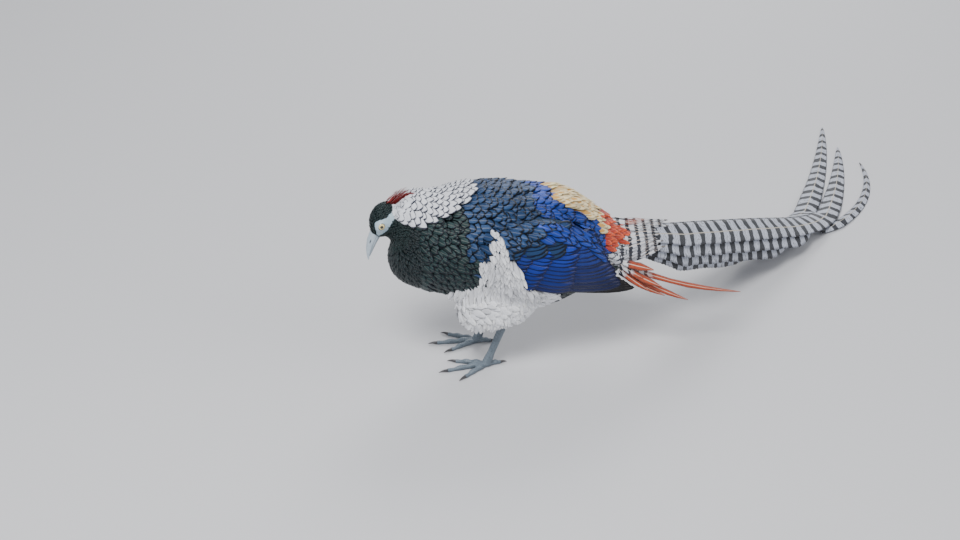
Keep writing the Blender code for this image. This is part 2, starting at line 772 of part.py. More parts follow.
def build_leg(side, name, thigh):
    """Make the bare tarsus and its four toes, with flat soles on the ground."""
    foot = Vector((FOOT_PLACE[0], side * FOOT_PLACE[1], 0.0))
    hock = Vector((HOCK_PLACE[0], side * HOCK_PLACE[1], HOCK_PLACE[2]))
    stations = []
    for part in (0.0, 0.08, 0.2, 0.45, 0.7, 0.9, 1.0):
        place = foot + Vector((0, 0, 3.2)) + (hock - foot - Vector((0, 0, 3.2))) * part
        swell = 1.18 if part < 0.1 else (0.92 + 0.25 * part * part)
        stations.append((place, TARSUS_RADIUS * swell))
    leg = tube(name, stations, sides=10, floor=0.0)
    pieces = [tube("toe", toe_path(side, bearing, length)[0], sides=8, floor=0.0)
              for _, bearing, length in TOES]
    pieces.append(ball("ball_of_foot", foot + Vector((0, 0, 2.6)), 5.6, (1, 1, 0.62), 12, 7))
    spur_root = foot.lerp(hock, 0.3) + Vector((2.0, -side * 2.0, 3.0))
    spur = [(spur_root + Vector((1.0, -side * 0.5, 0.2)) * k, 2.2 - 0.28 * k)
            for k in (0, 2, 4, 6)]
    pieces.append(tube("spur", spur, sides=6))
    fuse(leg, pieces)
    sole = make_object("ground", [(-200, -200, -20), (200, -200, -20), (200, 200, -20),
                                  (-200, 200, -20), (-200, -200, 0), (200, -200, 0),
                                  (200, 200, 0), (-200, 200, 0)],
                       [(0, 3, 2, 1), (4, 5, 6, 7), (0, 1, 5, 4), (1, 2, 6, 5), (2, 3, 7, 6),
                        (3, 0, 4, 7)])
    apply_boolean(leg, "DIFFERENCE", sole)
    bpy.data.objects.remove(sole)
    cut_clear(leg, thigh)
    return leg


def build_claw(side, bearing, length, name):
    """Make the horny claw at the end of one toe, bent down towards the ground."""
    stations, along = toe_path(side, bearing, length)
    root, radius = stations[-1]
    size = CLAW_LENGTH * (0.75 if length < 20 else 1.0)
    places = []
    for part in (0.0, 0.25, 0.5, 0.78, 1.0):
        place = root + along * (size * part + GAP)
        thick = radius * 0.72 * (1.0 - 0.86 * part ** 1.3)
        place.z = max(root.z + 0.9 * math.sin(part * 2.2) - 1.5 * part ** 2, thick + 0.1)
        places.append((place, thick))
    return tube(name, places, sides=6)


def build_thigh(side, name):
    """Make the feathered thigh that bulges below the flank."""
    rings = []
    top = Vector((-4.0, side * 33.0, 106.0))
    low = Vector((-16.0, side * 31.0, 50.0))
    sizes = smooth([(0.0, 8, 6), (0.06, 22, 13), (0.2, 38, 19), (0.45, 47, 24), (0.7, 44, 24),
                    (0.88, 34, 19), (0.96, 25, 13), (1.0, 17, 8)])
    for i in range(13):
        part = i / 12
        place = top.lerp(low, part)
        long, wide = sizes(part)
        rings.append([(place.x + long * math.cos(t), place.y + wide * math.sin(t), place.z)
                      for t in (2 * math.pi * k / 16 for k in range(16))])
    return loft(name, rings)


def surface_of(objects):
    """Return a search tree over the outer skin of several pieces, in millimetres."""
    points, faces = [], []
    for obj in objects:
        start = len(points)
        points += [Vector(v.co) / MM for v in obj.data.vertices]
        faces += [tuple(start + k for k in f.vertices) for f in obj.data.polygons]
    return BVHTree.FromPolygons(points, faces)


cape_axis = smooth([(0, -113, 188), (1, -95, 177), (2, -75, 165), (3, -55, 156), (4, -38, 150)])
CAPE_TILT = math.radians(14.0)
CAPE_PITCH = 21.5
CAPE_RISE = (0.5, 4.4)
CAPE_FEATHER = 0.8
CAPE_TIERS = ((0.9, 6), (1.5, 7), (2.1, 6), (2.7, 5), (3.3, 3), (3.85, 2))


def cape_point(skin, place, turn, height):
    """Return a point off the nape: turn is 0 over the spine and negative to the left."""
    x, z = cape_axis(place)
    axis = Vector((x, 0.0, z))
    up = Vector((math.sin(CAPE_TILT), 0.0, math.cos(CAPE_TILT)))
    way = up * math.cos(turn) + Vector((0.0, math.sin(turn), 0.0))
    hit = skin.ray_cast(axis + way * 200.0, -way)[0]
    return hit + way * height


cape_half_turn = smooth([(0.0, 80), (0.5, 94), (1.2, 86), (2.0, 62), (2.8, 42), (3.5, 25),
                         (3.95, 10)])


def cape_vane(skin, place, turn, length, width):
    """Make one rounded feather of the cape, its tip at the given place and turn."""
    top, low = [], []
    for part in (0.0, 0.45, 0.8, 1.0):
        here = max(place - (1 - part) * length / CAPE_PITCH, 0.05 + 0.3 * part)
        share = (0.8 + 0.2 * min(1.0, part / 0.4)) * (1 - 0.7 * max(0.0, (part - 0.45) / 0.55) ** 2)
        height = CAPE_RISE[0] + (CAPE_RISE[1] - CAPE_RISE[0]) * part
        lean = turn * (0.9 + 0.1 * part)
        middle = cape_point(skin, here, lean, 0.0)
        x, z = cape_axis(here)
        round_the_neck = (middle - Vector((x, 0.0, z))).length
        half = width / 2 * share / round_the_neck
        rows = ([], [])
        for edge in (-1, 1):
            for row, level in zip(rows, (CAPE_FEATHER / 2, -CAPE_FEATHER / 2)):
                row.append(cape_point(skin, here, lean + edge * half, height + level))
        top.append(rows[0])
        low.append(rows[1])
    return slab("vane", top, low)


def build_cape(skin, neighbours):
    """Make the cape: a thin shawl over the nape with tiers of rounded feathers on it."""
    top, low = [], []
    for i in range(6):
        place = 0.12 + 3.3 * i / 5
        half = math.radians(cape_half_turn(place)) * 0.9 - 0.03
        top.append([cape_point(skin, place, -half + half * k / 3, 1.7) for k in range(7)])
        low.append([cape_point(skin, place, -half + half * k / 3, -3.5) for k in range(7)])
    cape = slab("cape", top, low)
    vanes = []
    for row, (place, count) in enumerate(CAPE_TIERS):
        half = math.radians(cape_half_turn(place))
        x, z = cape_axis(place)
        size = (cape_point(skin, place, 0.0, 0.0) - Vector((x, 0.0, z))).length
        width = min(20.0, 2 * half * size / count - 0.5)
        for k in range(count):
            turn = half * (2 * (k + 0.5) / count - 1)
            vanes.append(cape_vane(skin, place, turn, 18.0 + 0.6 * row, width))
    fuse(cape, vanes)
    cut_clear(cape, *neighbours)
    return cape


def nape_point(skin, lean, side, height):
    """Return a point off the crown and nape, by its lean from upright about the nape's core."""
    core = Vector((NAPE_CORE[0], 0.0, NAPE_CORE[1]))
    way = Vector((math.sin(lean), 0.0, math.cos(lean)))
    start = core + Vector((0.0, side, 0.0))
    hit = skin.ray_cast(start + way * 200.0, -way)[0]
    return hit + way * height, way


def crest_vane(skin, start, end, side, width, low, high):
    """Make one narrow pointed feather of the crest between two leans over the nape."""
    top, under = [], []
    for part in (0.0, 0.35, 0.7, 1.0):
        lean = math.radians(start + (end - start) * part)
        share = (0.7 + 0.3 * min(1.0, part / 0.4)) * (1 - 0.85 * max(0.0, (part - 0.4) / 0.6) ** 1.5)
        height = low + (high - low) * part ** 0.8
        middle = side * (0.55 + 0.45 * part)
        rows = ([], [])
        for edge in (-1, 1):
            for row, level in zip(rows, (0.45, -0.45)):
                row.append(nape_point(skin, lean, middle + edge * share * width / 2,
                                      height + level)[0])
        top.append(rows[0])
        under.append(rows[1])
    return slab("vane", top, under)


def build_crest(skin, neighbours):
    """Make the crest: a small pad on the hind crown with narrow feathers streaming back."""
    top, low = [], []
    for i in range(4):
        lean = math.radians(-46.0 + 38.0 * i / 3)
        half = 4.6 + 1.2 * math.sin(math.pi * i / 3)
        top.append([nape_point(skin, lean, side, 1.3)[0] for side in (-half, 0.0, half)])
        low.append([nape_point(skin, lean, side, -3.0)[0] for side in (-half, 0.0, half)])
    crest = slab("crest", top, low)
    vanes = [crest_vane(skin, start, end, side, width, -0.8, high)
             for start, end, high, width, sides in CREST_TIERS for side in sides]
    fuse(crest, vanes)
    cut_clear(crest, *neighbours)
    return crest


def covert_vane(name, middle, across, normals, width, thick):
    """Make one long narrow tail covert along a row of places."""
    rows = []
    last = len(middle) - 1
    for i, place in enumerate(middle):
        part = i / last
        share = (0.75 + 0.25 * min(1.0, part / 0.3)) * (1 - 0.9 * max(0.0, (part - 0.5) / 0.5) ** 1.8)
        half = across[i] * (width / 2 * share)
        rows.append(([tuple(place + half), tuple(place - half)], tuple(normals[i])))
    return blade(rows, thick, name)


def coverts_left(neighbours):
    """Make the near tail coverts, which trail straight back past the wing's tip."""
    pad = ball("coverts_left", COVERT_PAD[:1] + (-COVERT_PAD[1],) + COVERT_PAD[2:], 9.0,
               (1.5, 0.6, 1.25), 10, 6)
    vanes = []
    for root, tip, sag, width in COVERTS_LEFT:
        root, tip = Vector(root), Vector(tip)
        run = (tip - root).normalized()
        normal = Vector((0.1, -0.8, 0.6))
        upward = run.cross(normal).normalized()
        normal = upward.cross(run).normalized()
        middle = [root.lerp(tip, i / 5) - Vector((0, 0, sag * math.sin(math.pi * i / 5)))
                  for i in range(6)]
        vanes.append(covert_vane("vane", middle, [upward] * 6, [normal] * 6, width, 0.9))
    fuse(pad, vanes)
    cut_clear(pad, *neighbours)
    return pad


def coverts_right(neighbours):
    """Make the far tail coverts, which follow the tail's swing along its right slope."""
    pad = ball("coverts_right", COVERT_PAD, 9.0, (1.5, 0.6, 1.25), 10, 6)
    vanes = []
    for out, lift, length, width in COVERTS_RIGHT:
        middle, across, normals = [], [], []
        for i in range(6):
            s = 3.0 + length * i / 5
            droop = math.radians(52.0)
            here = out * (0.7 + 0.3 * min(1.0, i / 2.0))
            height = lift * min(1.0, 0.4 + i / 4.0)
            place, normal = tail_point(s, here, droop, height, 1)
            beyond = tail_point(s, here + 1.0, droop, height, 1)[0]
            middle.append(place)
            across.append((place - beyond).normalized())
            normals.append(normal)
        vanes.append(covert_vane("vane", middle, across, normals, width, 0.9))
    fuse(pad, vanes)
    cut_clear(pad, *neighbours)
    return pad


def clear_scene():
    """Remove whatever the scene held before."""
    for obj in list(bpy.data.objects):
        bpy.data.objects.remove(obj)


def twin(obj, name):
    """Return a second object with its own copy of the same shape."""
    copy = obj.copy()
    copy.data = obj.data.copy()
    copy.name = name
    bpy.context.scene.collection.objects.link(copy)
    return copy


def stand_at_origin():
    """Move the whole bird so that the origin lies under the middle of its box."""
    pieces = [o for o in bpy.data.objects if o.type == "MESH"]
    corners = np.array([v.co for o in pieces for v in o.data.vertices])
    low, high = corners.min(axis=0), corners.max(axis=0)
    shift = Vector((-(low[0] + high[0]) / 2, -(low[1] + high[1]) / 2, -low[2]))
    for obj in pieces:
        obj.data.transform(Matrix.Translation(shift))


def main():
    """Build every piece of the bird in its place."""
    clear_scene()
    torso = build_torso()
    neck = build_neck()
    neck_form = twin(neck, "neck_form")
    cut_clear(neck, torso)
    head = build_head_form()
    head_form = twin(head, "head_form")
    fuse(head, [lid_ring(-1), lid_ring(1)])
    cut_clear(head, neck_form)
    eyes = []
    for side, name in ((-1, "eye_left"), (1, "eye_right")):
        eye = ball(name, eye_centre(side), EYE_RADIUS, segments=12, rings=8)
        cut_clear(head, eye)
        eyes.append(eye)
    upper = bill_half("bill_upper", True, 1.0)
    lower = bill_half("bill_lower", False, BILL_LOWER_SHARE)
    for half in (upper, lower):
        cut_clear(half, head_form)
    cut_nostrils(upper)
    fine = [build_torso(72, 90, "fine_torso"), build_neck(64, 60, "fine_neck"),
            build_head_form(48, 48, "fine_head")]
    skin = surface_of(fine)
    forms = (torso, neck_form, head_form)
    cape = build_cape(skin, forms)
    crest = build_crest(skin, forms)
    wings = [build_wing(-1, "wing_left", torso), build_wing(1, "wing_right", torso)]
    legs, claws, thighs = [], [], []
    for side, end in ((-1, "left"), (1, "right")):
        thigh = build_thigh(side, "thigh_" + end)
        thigh_form = twin(thigh, "thigh_form")
        cut_clear(thigh, torso)
        thighs.append(thigh)
        legs.append(build_leg(side, "leg_" + end, thigh_form))
        fine.append(thigh_form)
        for toe, bearing, length in TOES:
            claws.append(build_claw(side, bearing, length, f"claw_{end}_{toe}"))
    tail = [tail_length(name, first + GAP / 2, last - GAP / 2)
            for name, first, last in TAIL_LENGTHS]
    cut_clear(tail[0], torso)
    tips = []
    for name, beside, start, heading, bend, length, width, lift in TAIL_TIPS:
        place, along, left, _ = tail_frame(start + 2 * GAP)
        tips.append(floor_vane(name, place + left * beside, heading, bend, length, width, lift))
    coverts = [coverts_left((torso,)), coverts_right((torso,))]
    for form in (*fine, neck_form, head_form):
        bpy.data.objects.remove(form)
    stand_at_origin()
    dark_green, deep_blue = (0.012, 0.045, 0.04), (0.015, 0.04, 0.16)
    white, horn, slate = (0.8, 0.82, 0.85), (0.42, 0.47, 0.52), (0.16, 0.2, 0.26)
    for obj, colour, rough, metal in (
            (torso, dark_green, 0.45, 0.2), (neck, dark_green, 0.45, 0.2),
            (head, (0.01, 0.03, 0.03), 0.45, 0.2), (cape, white, 0.55, 0.0),
            (crest, (0.25, 0.01, 0.01), 0.5, 0.0), (upper, horn, 0.35, 0.0),
            (lower, horn, 0.35, 0.0)):
        finish_material(obj, colour, rough, metal)
    for group, colour, rough in ((eyes, (0.75, 0.6, 0.2), 0.08), (wings, deep_blue, 0.4),
                                 (thighs, white, 0.7), (legs, slate, 0.5),
                                 (claws, (0.06, 0.06, 0.07), 0.35), (tail, white, 0.5),
                                 (tips, white, 0.5),
                                 (coverts, (0.6, 0.12, 0.03), 0.5)):
        for obj in group:
            finish_material(obj, colour, rough)


main()
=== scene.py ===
"""Render scene of a standing white-caped, ruffed pheasant cock with a long barred tail.

The bird is worked out in millimetres in its own frame, which starts on the ground under
the middle of the trunk: it faces -X, and its left side lies towards -Y.
"""
import json
import math

import bpy
import numpy as np
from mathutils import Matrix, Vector
from mathutils.bvhtree import BVHTree

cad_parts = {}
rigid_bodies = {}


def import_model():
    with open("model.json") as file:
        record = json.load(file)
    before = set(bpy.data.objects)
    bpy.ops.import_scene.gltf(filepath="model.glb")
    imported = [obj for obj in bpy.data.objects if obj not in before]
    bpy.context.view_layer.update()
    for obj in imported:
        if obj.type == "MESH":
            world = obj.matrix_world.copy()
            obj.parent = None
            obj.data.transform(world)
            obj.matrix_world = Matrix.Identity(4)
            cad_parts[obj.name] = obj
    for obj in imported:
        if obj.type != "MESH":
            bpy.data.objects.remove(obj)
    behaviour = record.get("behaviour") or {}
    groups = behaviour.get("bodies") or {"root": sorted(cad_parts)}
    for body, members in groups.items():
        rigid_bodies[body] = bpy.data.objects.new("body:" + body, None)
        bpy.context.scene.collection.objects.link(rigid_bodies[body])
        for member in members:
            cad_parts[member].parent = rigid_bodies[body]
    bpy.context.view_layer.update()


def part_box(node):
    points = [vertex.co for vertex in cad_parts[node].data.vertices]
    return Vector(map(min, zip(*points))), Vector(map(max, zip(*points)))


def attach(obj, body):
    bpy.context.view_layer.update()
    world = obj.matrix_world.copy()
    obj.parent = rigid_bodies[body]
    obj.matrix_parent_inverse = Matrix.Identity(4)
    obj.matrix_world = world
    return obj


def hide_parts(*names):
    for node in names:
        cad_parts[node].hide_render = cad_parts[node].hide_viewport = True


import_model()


# The skin: one closed body from skull to tail root with both thighs, lying inside the
# solids by the depth of the coat.  Trunk, neck, head and two thighs are wrapped out of
# grids, fused and smoothed.
MM = 0.001
SIDES = ((-1, "left"), (1, "right"))
torso_low, torso_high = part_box("torso")
# Ovals of the trunk: x, height of the middle, half height and half width
TRUNK_SECTIONS = (
    (-125, 129.0, 0.0, 0.0), (-122, 129.5, 14.0, 13.0), (-114, 131.0, 27.0, 25.0),
    (-102, 134.0, 38.0, 36.0), (-88, 138.0, 47.0, 44.0), (-60, 143.0, 60.0, 54.0),
    (-27, 140.0, 68.0, 60.0), (0, 133.0, 74.0, 63.0), (40, 129.0, 71.0, 61.0),
    (70, 130.0, 62.5, 55.0), (100, 124.0, 48.5, 43.0), (117, 120.5, 37.0, 33.0),
    (131, 119.0, 27.0, 25.0), (143, 118.5, 21.5, 21.0),
)
TRUNK_START, TRUNK_RUN = -124.6, 267.6
# The bird's frame starts on the ground, as far behind the torso's front as the first oval
GROUND_POINT = np.array([torso_low.x - TRUNK_SECTIONS[0][0] * MM,
                         (torso_low.y + torso_high.y) / 2, 0.0])
# Rings of the neck: place, x and z of the middle, reach above, below and beside it
NECK_SECTIONS = (
    (0, -44, 154, 40, 34, 40), (1, -63, 160, 43, 44, 45), (2, -81, 168, 38, 45, 40),
    (3, -95, 176, 31, 40, 32), (4, -107, 183, 25, 31, 25), (5, -116, 189, 17, 20, 18),
)
HEAD_CENTRE = np.array([-125.0, 0.0, 177.0])
HEAD_DIP = math.radians(60.0)
HEAD_AXIS = np.array([-math.cos(HEAD_DIP), 0.0, -math.sin(HEAD_DIP)])
HEAD_UP = np.array([-math.sin(HEAD_DIP), 0.0, math.cos(HEAD_DIP)])
HEAD_REACH, HEAD_EDGE = 34.0, 14.0
# Rings of the skull: place down its axis, reach above, below and beside it
HEAD_SECTIONS = (
    (-21.0, 0.0, 0.0, 0.0), (-19.5, 6.0, 6.0, 6.0), (-13.0, 13.0, 12.0, 11.5),
    (-4.0, 16.5, 15.0, 14.5), (5.0, 16.0, 14.5, 15.0), (12.0, 13.0, 12.5, 12.5),
    (17.0, 10.0, 10.0, 9.8), (21.0, 7.6, 7.8, 7.4),
)
THIGH_TOP, THIGH_LOW = np.array([-4.0, 33.0, 106.0]), np.array([-16.0, 31.0, 50.0])
# Ovals of the thigh: share of the way down, half length and half width
THIGH_SECTIONS = (
    (0.0, 8, 6), (0.06, 22, 13), (0.2, 38, 19), (0.45, 47, 24), (0.7, 44, 24),
    (0.88, 34, 19), (0.96, 25, 13), (1.0, 17, 8),
)
SKIN_VOXEL, SKIN_SMOOTHING = 0.0024, 7
BODY_COAT_DEPTH, HEAD_COAT_DEPTH = 3.2, 1.3


def smooth(points):
    """Return a monotone cubic through the points, with one output for each further column."""
    table = np.array(points, dtype=float)
    xs, ys = table[:, 0], table[:, 1:]
    step = np.diff(xs)[:, None]
    slope = np.diff(ys, axis=0) / step
    tangent = np.zeros_like(ys)
    tangent[0], tangent[-1] = slope[0], slope[-1]
    before, after = slope[:-1], slope[1:]
    same = before * after > 0
    tangent[1:-1] = np.where(same, 2 * before * after / np.where(same, before + after, 1.0), 0.0)

    def value(x):
        x = np.clip(np.asarray(x, dtype=float), xs[0], xs[-1])
        i = np.clip(np.searchsorted(xs, x, side="right") - 1, 0, len(xs) - 2)
        h = xs[i + 1] - xs[i]
        t = ((x - xs[i]) / h)[..., None]
        h = h[..., None]
        out = ((1 + 2 * t) * (1 - t) ** 2 * ys[i] + t * (1 - t) ** 2 * h * tangent[i]
               + t * t * (3 - 2 * t) * ys[i + 1] + t * t * (t - 1) * h * tangent[i + 1])
        return [out[..., k] for k in range(out.shape[-1])] if out.shape[-1] > 1 else out[..., 0]

    return value


def unit(vectors):
    """Return vectors of length one."""
    vectors = np.asarray(vectors, dtype=float)
    return vectors / np.maximum(np.linalg.norm(vectors, axis=-1, keepdims=True), 1e-9)


def placed(points):
    """Turn millimetres in the bird's frame into metres in the row's frame."""
    return np.asarray(points, dtype=float) * MM + GROUND_POINT


def turns_round(count):
    """Return equal turns round a full circle, from zero."""
    return np.arange(count) * 2 * math.pi / count


def pick(*pieces):
    """Select these pieces and nothing else, and make the first of them active."""
    bpy.ops.object.select_all(action="DESELECT")
    for piece in pieces:
        piece.select_set(True)
    if pieces:
        bpy.context.view_layer.objects.active = pieces[0]


def wrap(name, rings):
    """Wrap a grid round a row of rings, join its seam and fill its two ends."""
    rings = np.asarray(rings, dtype=float)
    rings = np.concatenate([rings, rings[:, :1]], axis=1)
    rows, columns = rings.shape[:2]
    pick()
    bpy.ops.mesh.primitive_grid_add(x_subdivisions=columns - 1, y_subdivisions=rows - 1)
    obj = bpy.context.active_object
    obj.name = obj.data.name = name
    obj.data.vertices.foreach_set("co", placed(rings).ravel())
    bpy.ops.object.mode_set(mode="EDIT")
    bpy.ops.mesh.select_all(action="SELECT")
    bpy.ops.mesh.remove_doubles(threshold=0.00001)
    bpy.ops.mesh.fill_holes(sides=0)
    bpy.ops.mesh.select_all(action="SELECT")
    bpy.ops.mesh.normals_make_consistent(inside=False)
    bpy.ops.object.mode_set(mode="OBJECT")
    return obj


def fused(pieces, voxel, rounds):
    """Join pieces into the first, remesh them as one closed form and smooth it."""
    form = pieces[0]
    pick(*pieces)
    bpy.ops.object.join()
    remesh = form.modifiers.new("one_form", "REMESH")
    remesh.mode, remesh.voxel_size = "VOXEL", voxel
    bpy.ops.object.modifier_apply(modifier=remesh.name)
    relax = form.modifiers.new("relax", "SMOOTH")
    relax.factor, relax.iterations = 0.5, rounds
    bpy.ops.object.modifier_apply(modifier=relax.name)
    return form


trunk_at, neck_at, head_at, thigh_at = (
    smooth(table) for table in (TRUNK_SECTIONS, NECK_SECTIONS, HEAD_SECTIONS, THIGH_SECTIONS))


def trunk_ring(x, turns):
    """Return the trunk's oval at one place along it."""
    centre, high, wide = trunk_at(x)
    return np.stack([np.full_like(turns, x), wide * np.sin(turns), centre + high * np.cos(turns)],
                    axis=-1)


def neck_ring(place, turns):
    """Return the neck's ring, deeper towards the throat than towards the nape."""
    x, z, above, below, beside = neck_at(place)
    x1, z1 = neck_at(min(place + 0.05, 5.0))[:2]
    x0, z0 = neck_at(max(place - 0.05, 0.0))[:2]
    along = unit([x1 - x0, 0.0, z1 - z0])
    up = np.array([-along[2], 0.0, along[0]])
    up = up if up[2] > 0 else -up
    rise = np.where(np.cos(turns) > 0, above, below) * np.cos(turns)
    return (np.array([x, 0.0, z]) + up * rise[:, None]
            + np.array([0.0, 1.0, 0.0]) * (beside * np.sin(turns))[:, None])


def head_point(along, up, side):
    """Return a point by its place down the skull, towards the crown and beside it."""
    return HEAD_CENTRE + HEAD_AXIS * along + HEAD_UP * up + np.array([0.0, side, 0.0])


def head_ring(place, turns):
    """Return the skull's ring at one place down its axis."""
    above, below, beside = head_at(place)
    rise = np.where(np.cos(turns) > 0, above, below) * np.cos(turns)
    return np.array([head_point(place, r, beside * math.sin(t)) for r, t in zip(rise, turns)])


def thigh_ring(part, turns, side):
    """Return the thigh's oval at one share of its way down."""
    long, wide = thigh_at(part)
    place = (THIGH_TOP + (THIGH_LOW - THIGH_TOP) * part) * np.array([1.0, side, 1.0])
    return place + np.stack([long * np.cos(turns), wide * np.sin(turns), 0 * turns], axis=-1)


ring_turns = turns_round(48)
trunk_places = TRUNK_START + TRUNK_RUN * np.linspace(0, 1, 60) ** 1.3
skin = fused([
    wrap("skin", [trunk_ring(x, ring_turns) for x in trunk_places]),
    wrap("neck_form", [neck_ring(p, ring_turns) for p in np.linspace(0, 5, 30)]),
    wrap("head_form", [head_ring(p, ring_turns) for p in np.linspace(-20.9, 21.0, 40)]),
    *(wrap("thigh_form", [thigh_ring(p, ring_turns, side) for p in np.linspace(0.0, 1.0, 30)])
      for side, _ in SIDES)], SKIN_VOXEL, SKIN_SMOOTHING)


def corners(obj):
    """Return the places of an object's corners as its mesh holds them, in metres."""
    places = np.empty(len(obj.data.vertices) * 3)
    obj.data.vertices.foreach_get("co", places)
    return places.reshape(-1, 3)


def mesh_arrays(obj):
    """Return an object's corners in the bird's frame, their normals and its triangles."""
    mesh = obj.data
    normals = np.empty(len(mesh.vertices) * 3)
    mesh.vertex_normals.foreach_get("vector", normals)
    mesh.calc_loop_triangles()
    triangles = np.empty(len(mesh.loop_triangles) * 3, dtype=np.int32)
    mesh.loop_triangles.foreach_get("vertices", triangles)
    return (corners(obj) - GROUND_POINT) / MM, normals.reshape(-1, 3), triangles.reshape(-1, 3)


def on_head(points):
    """Return how far each point belongs to the head, from 0 to 1."""
    reach = np.linalg.norm(points - (HEAD_CENTRE + HEAD_AXIS * 4.0), axis=-1)
    return np.clip((HEAD_REACH - reach) / HEAD_EDGE, 0.0, 1.0)


skin_points, skin_normals, skin_triangles = mesh_arrays(skin)
depth = BODY_COAT_DEPTH + (HEAD_COAT_DEPTH - BODY_COAT_DEPTH) * on_head(skin_points)
skin_points = skin_points - skin_normals * depth[:, None]
skin.data.vertices.foreach_set("co", placed(skin_points).ravel())
skin.data.update()
skin_tree = BVHTree.FromPolygons(skin_points.tolist(), skin_triangles.tolist())
bpy.ops.object.shade_smooth()


def skin_below(start, way, reach=200.0):
    """Return the place on the skin that is met on the way in towards a start."""
    return np.array(skin_tree.ray_cast(start + way * reach, -way)[0])


# Where the colours of the coat lie.  Each zone gives a feather's colour, the colour and
# width of its rim, its length and width, how far its tip stands off, and how far apart the
# roots lie.
BLACK_BLUE, BACK_RIM = (0.004, 0.008, 0.016), (0.004, 0.012, 0.06)
PLUME_WHITE, PLUME_RIM = (0.78, 0.79, 0.83), (0.88, 0.89, 0.92)
BARRED_WHITE, BARRED_RIM = (0.76, 0.78, 0.84), (0.008, 0.013, 0.040)
ZONES = {
    "face": ((0.008, 0.027, 0.028), BLACK_BLUE, 0.10, 5.2, 3.4, 0.9, 1.5),
    "collar": (BARRED_WHITE, BARRED_RIM, 0.10, 7.0, 4.8, 1.8, 1.9),
    "throat": ((0.007, 0.019, 0.022), BLACK_BLUE, 0.15, 7.4, 4.8, 1.5, 2.4),
    "breast": ((0.010, 0.031, 0.033), BLACK_BLUE, 0.26, 13.0, 9.4, 2.7, 4.2),
    "mantle": ((0.012, 0.045, 0.125), BLACK_BLUE, 0.24, 15.0, 12.0, 3.0, 5.2),
    "back": ((0.012, 0.050, 0.31), BACK_RIM, 0.20, 18.0, 11.0, 3.0, 5.2),
    "belly": (PLUME_WHITE, PLUME_RIM, 0.30, 19.0, 8.2, 3.0, 3.7),
    "rump": ((0.66, 0.34, 0.06), (0.90, 0.74, 0.42), 0.50, 21.0, 6.8, 4.2, 3.6),
    "vermilion": ((0.40, 0.024, 0.008), (0.76, 0.085, 0.014), 0.40, 22.0, 6.6, 4.4, 3.6),
    "tail_side": (BARRED_WHITE, BARRED_RIM, 0.30, 17.0, 7.6, 3.4, 4.2),
    "vent": ((0.012, 0.022, 0.026), BLACK_BLUE, 0.20, 16.0, 10.0, 3.0, 5.2),
    "thigh": ((0.66, 0.65, 0.67), (0.46, 0.43, 0.42), 0.22, 13.0, 6.4, 2.4, 3.4),
}
ZONE_NAMES = list(ZONES)
ZONE_TABLE = {key: np.array([zone[k] for zone in ZONES.values()]) for k, key in enumerate(
    ("tint", "rim", "rim_width", "length", "width", "lift", "spacing"))}


def noise(points, scale, seed=0.0):
    """Return a gentle wandering value between -1 and 1 over the body."""
    p = np.asarray(points) / scale + seed
    return (np.sin(p[..., 0] * 1.7 + 1.3 * np.sin(p[..., 2] * 1.1))
            + np.sin(p[..., 1] * 1.9 + 1.1 * np.sin(p[..., 0] * 1.3))
            + np.sin(p[..., 2] * 1.5 + 1.2 * np.sin(p[..., 1] * 1.7))) / 3.0


def zone_of(points, ragged=3.0):
    """Return the number of the zone that each point lies in, with ragged borders."""
    p = points + ragged * np.stack([noise(points, 9.0, k * 3.1) for k in range(3)], axis=-1)
    x, y, z = p[:, 0], np.abs(p[:, 1]), p[:, 2]
    blue_top = np.interp(x, [26, 46, 67, 87, 96, 104, 112], [203, 191, 183, 170, 152, 138, 118])
    wide = np.interp(x, [26, 60, 90, 112], [18.0, 33.0, 36.0, 40.0]) + 3.0 * noise(points, 6.0)
    belly_top = np.interp(x, [-67, -61, -36, -23, -8, 10, 40, 140],
                          [60, 106, 115, 140, 148, 122, 108, 90])
    head = on_head(points) > 0.05
    zone = np.full(len(p), ZONE_NAMES.index("breast"))
    for name, where in (
            ("mantle", (x > -52) & (z > 150 + 0.18 * (x + 52))),
            ("back", (x > 22) & (z > 112)),
            ("rump", (x > 26) & (z > blue_top) & (y < wide)),
            ("vermilion", (x > 97) & (z > blue_top - 8)),
            ("tail_side", (x > 97) & (z > blue_top - 8) & (z < 139)),
            ("belly", (x > -70) & (z < belly_top)),
            ("vent", (x > 42) & (z < 100)),
            ("thigh", (x > -62) & (x < 34) & (y > 8) & (z < 70)),
            ("face", head),
            ("throat", ~head & (x < -96) & (z < 176)),
            ("collar", (np.abs(points[:, 0] + 108.5) < 10.5) & (points[:, 2] > 181)
             & (np.abs(points[:, 1]) > 5.5))):
        zone[where] = ZONE_NAMES.index(name)
    return zone


BODY_COURSE = np.array([
    (-138, 152), (-131, 166), (-124, 178), (-116, 187), (-107, 185), (-95, 177), (-81, 168),
    (-63, 158), (-40, 150), (-10, 141), (30, 134), (70, 130), (110, 123), (150, 117),
], dtype=float)


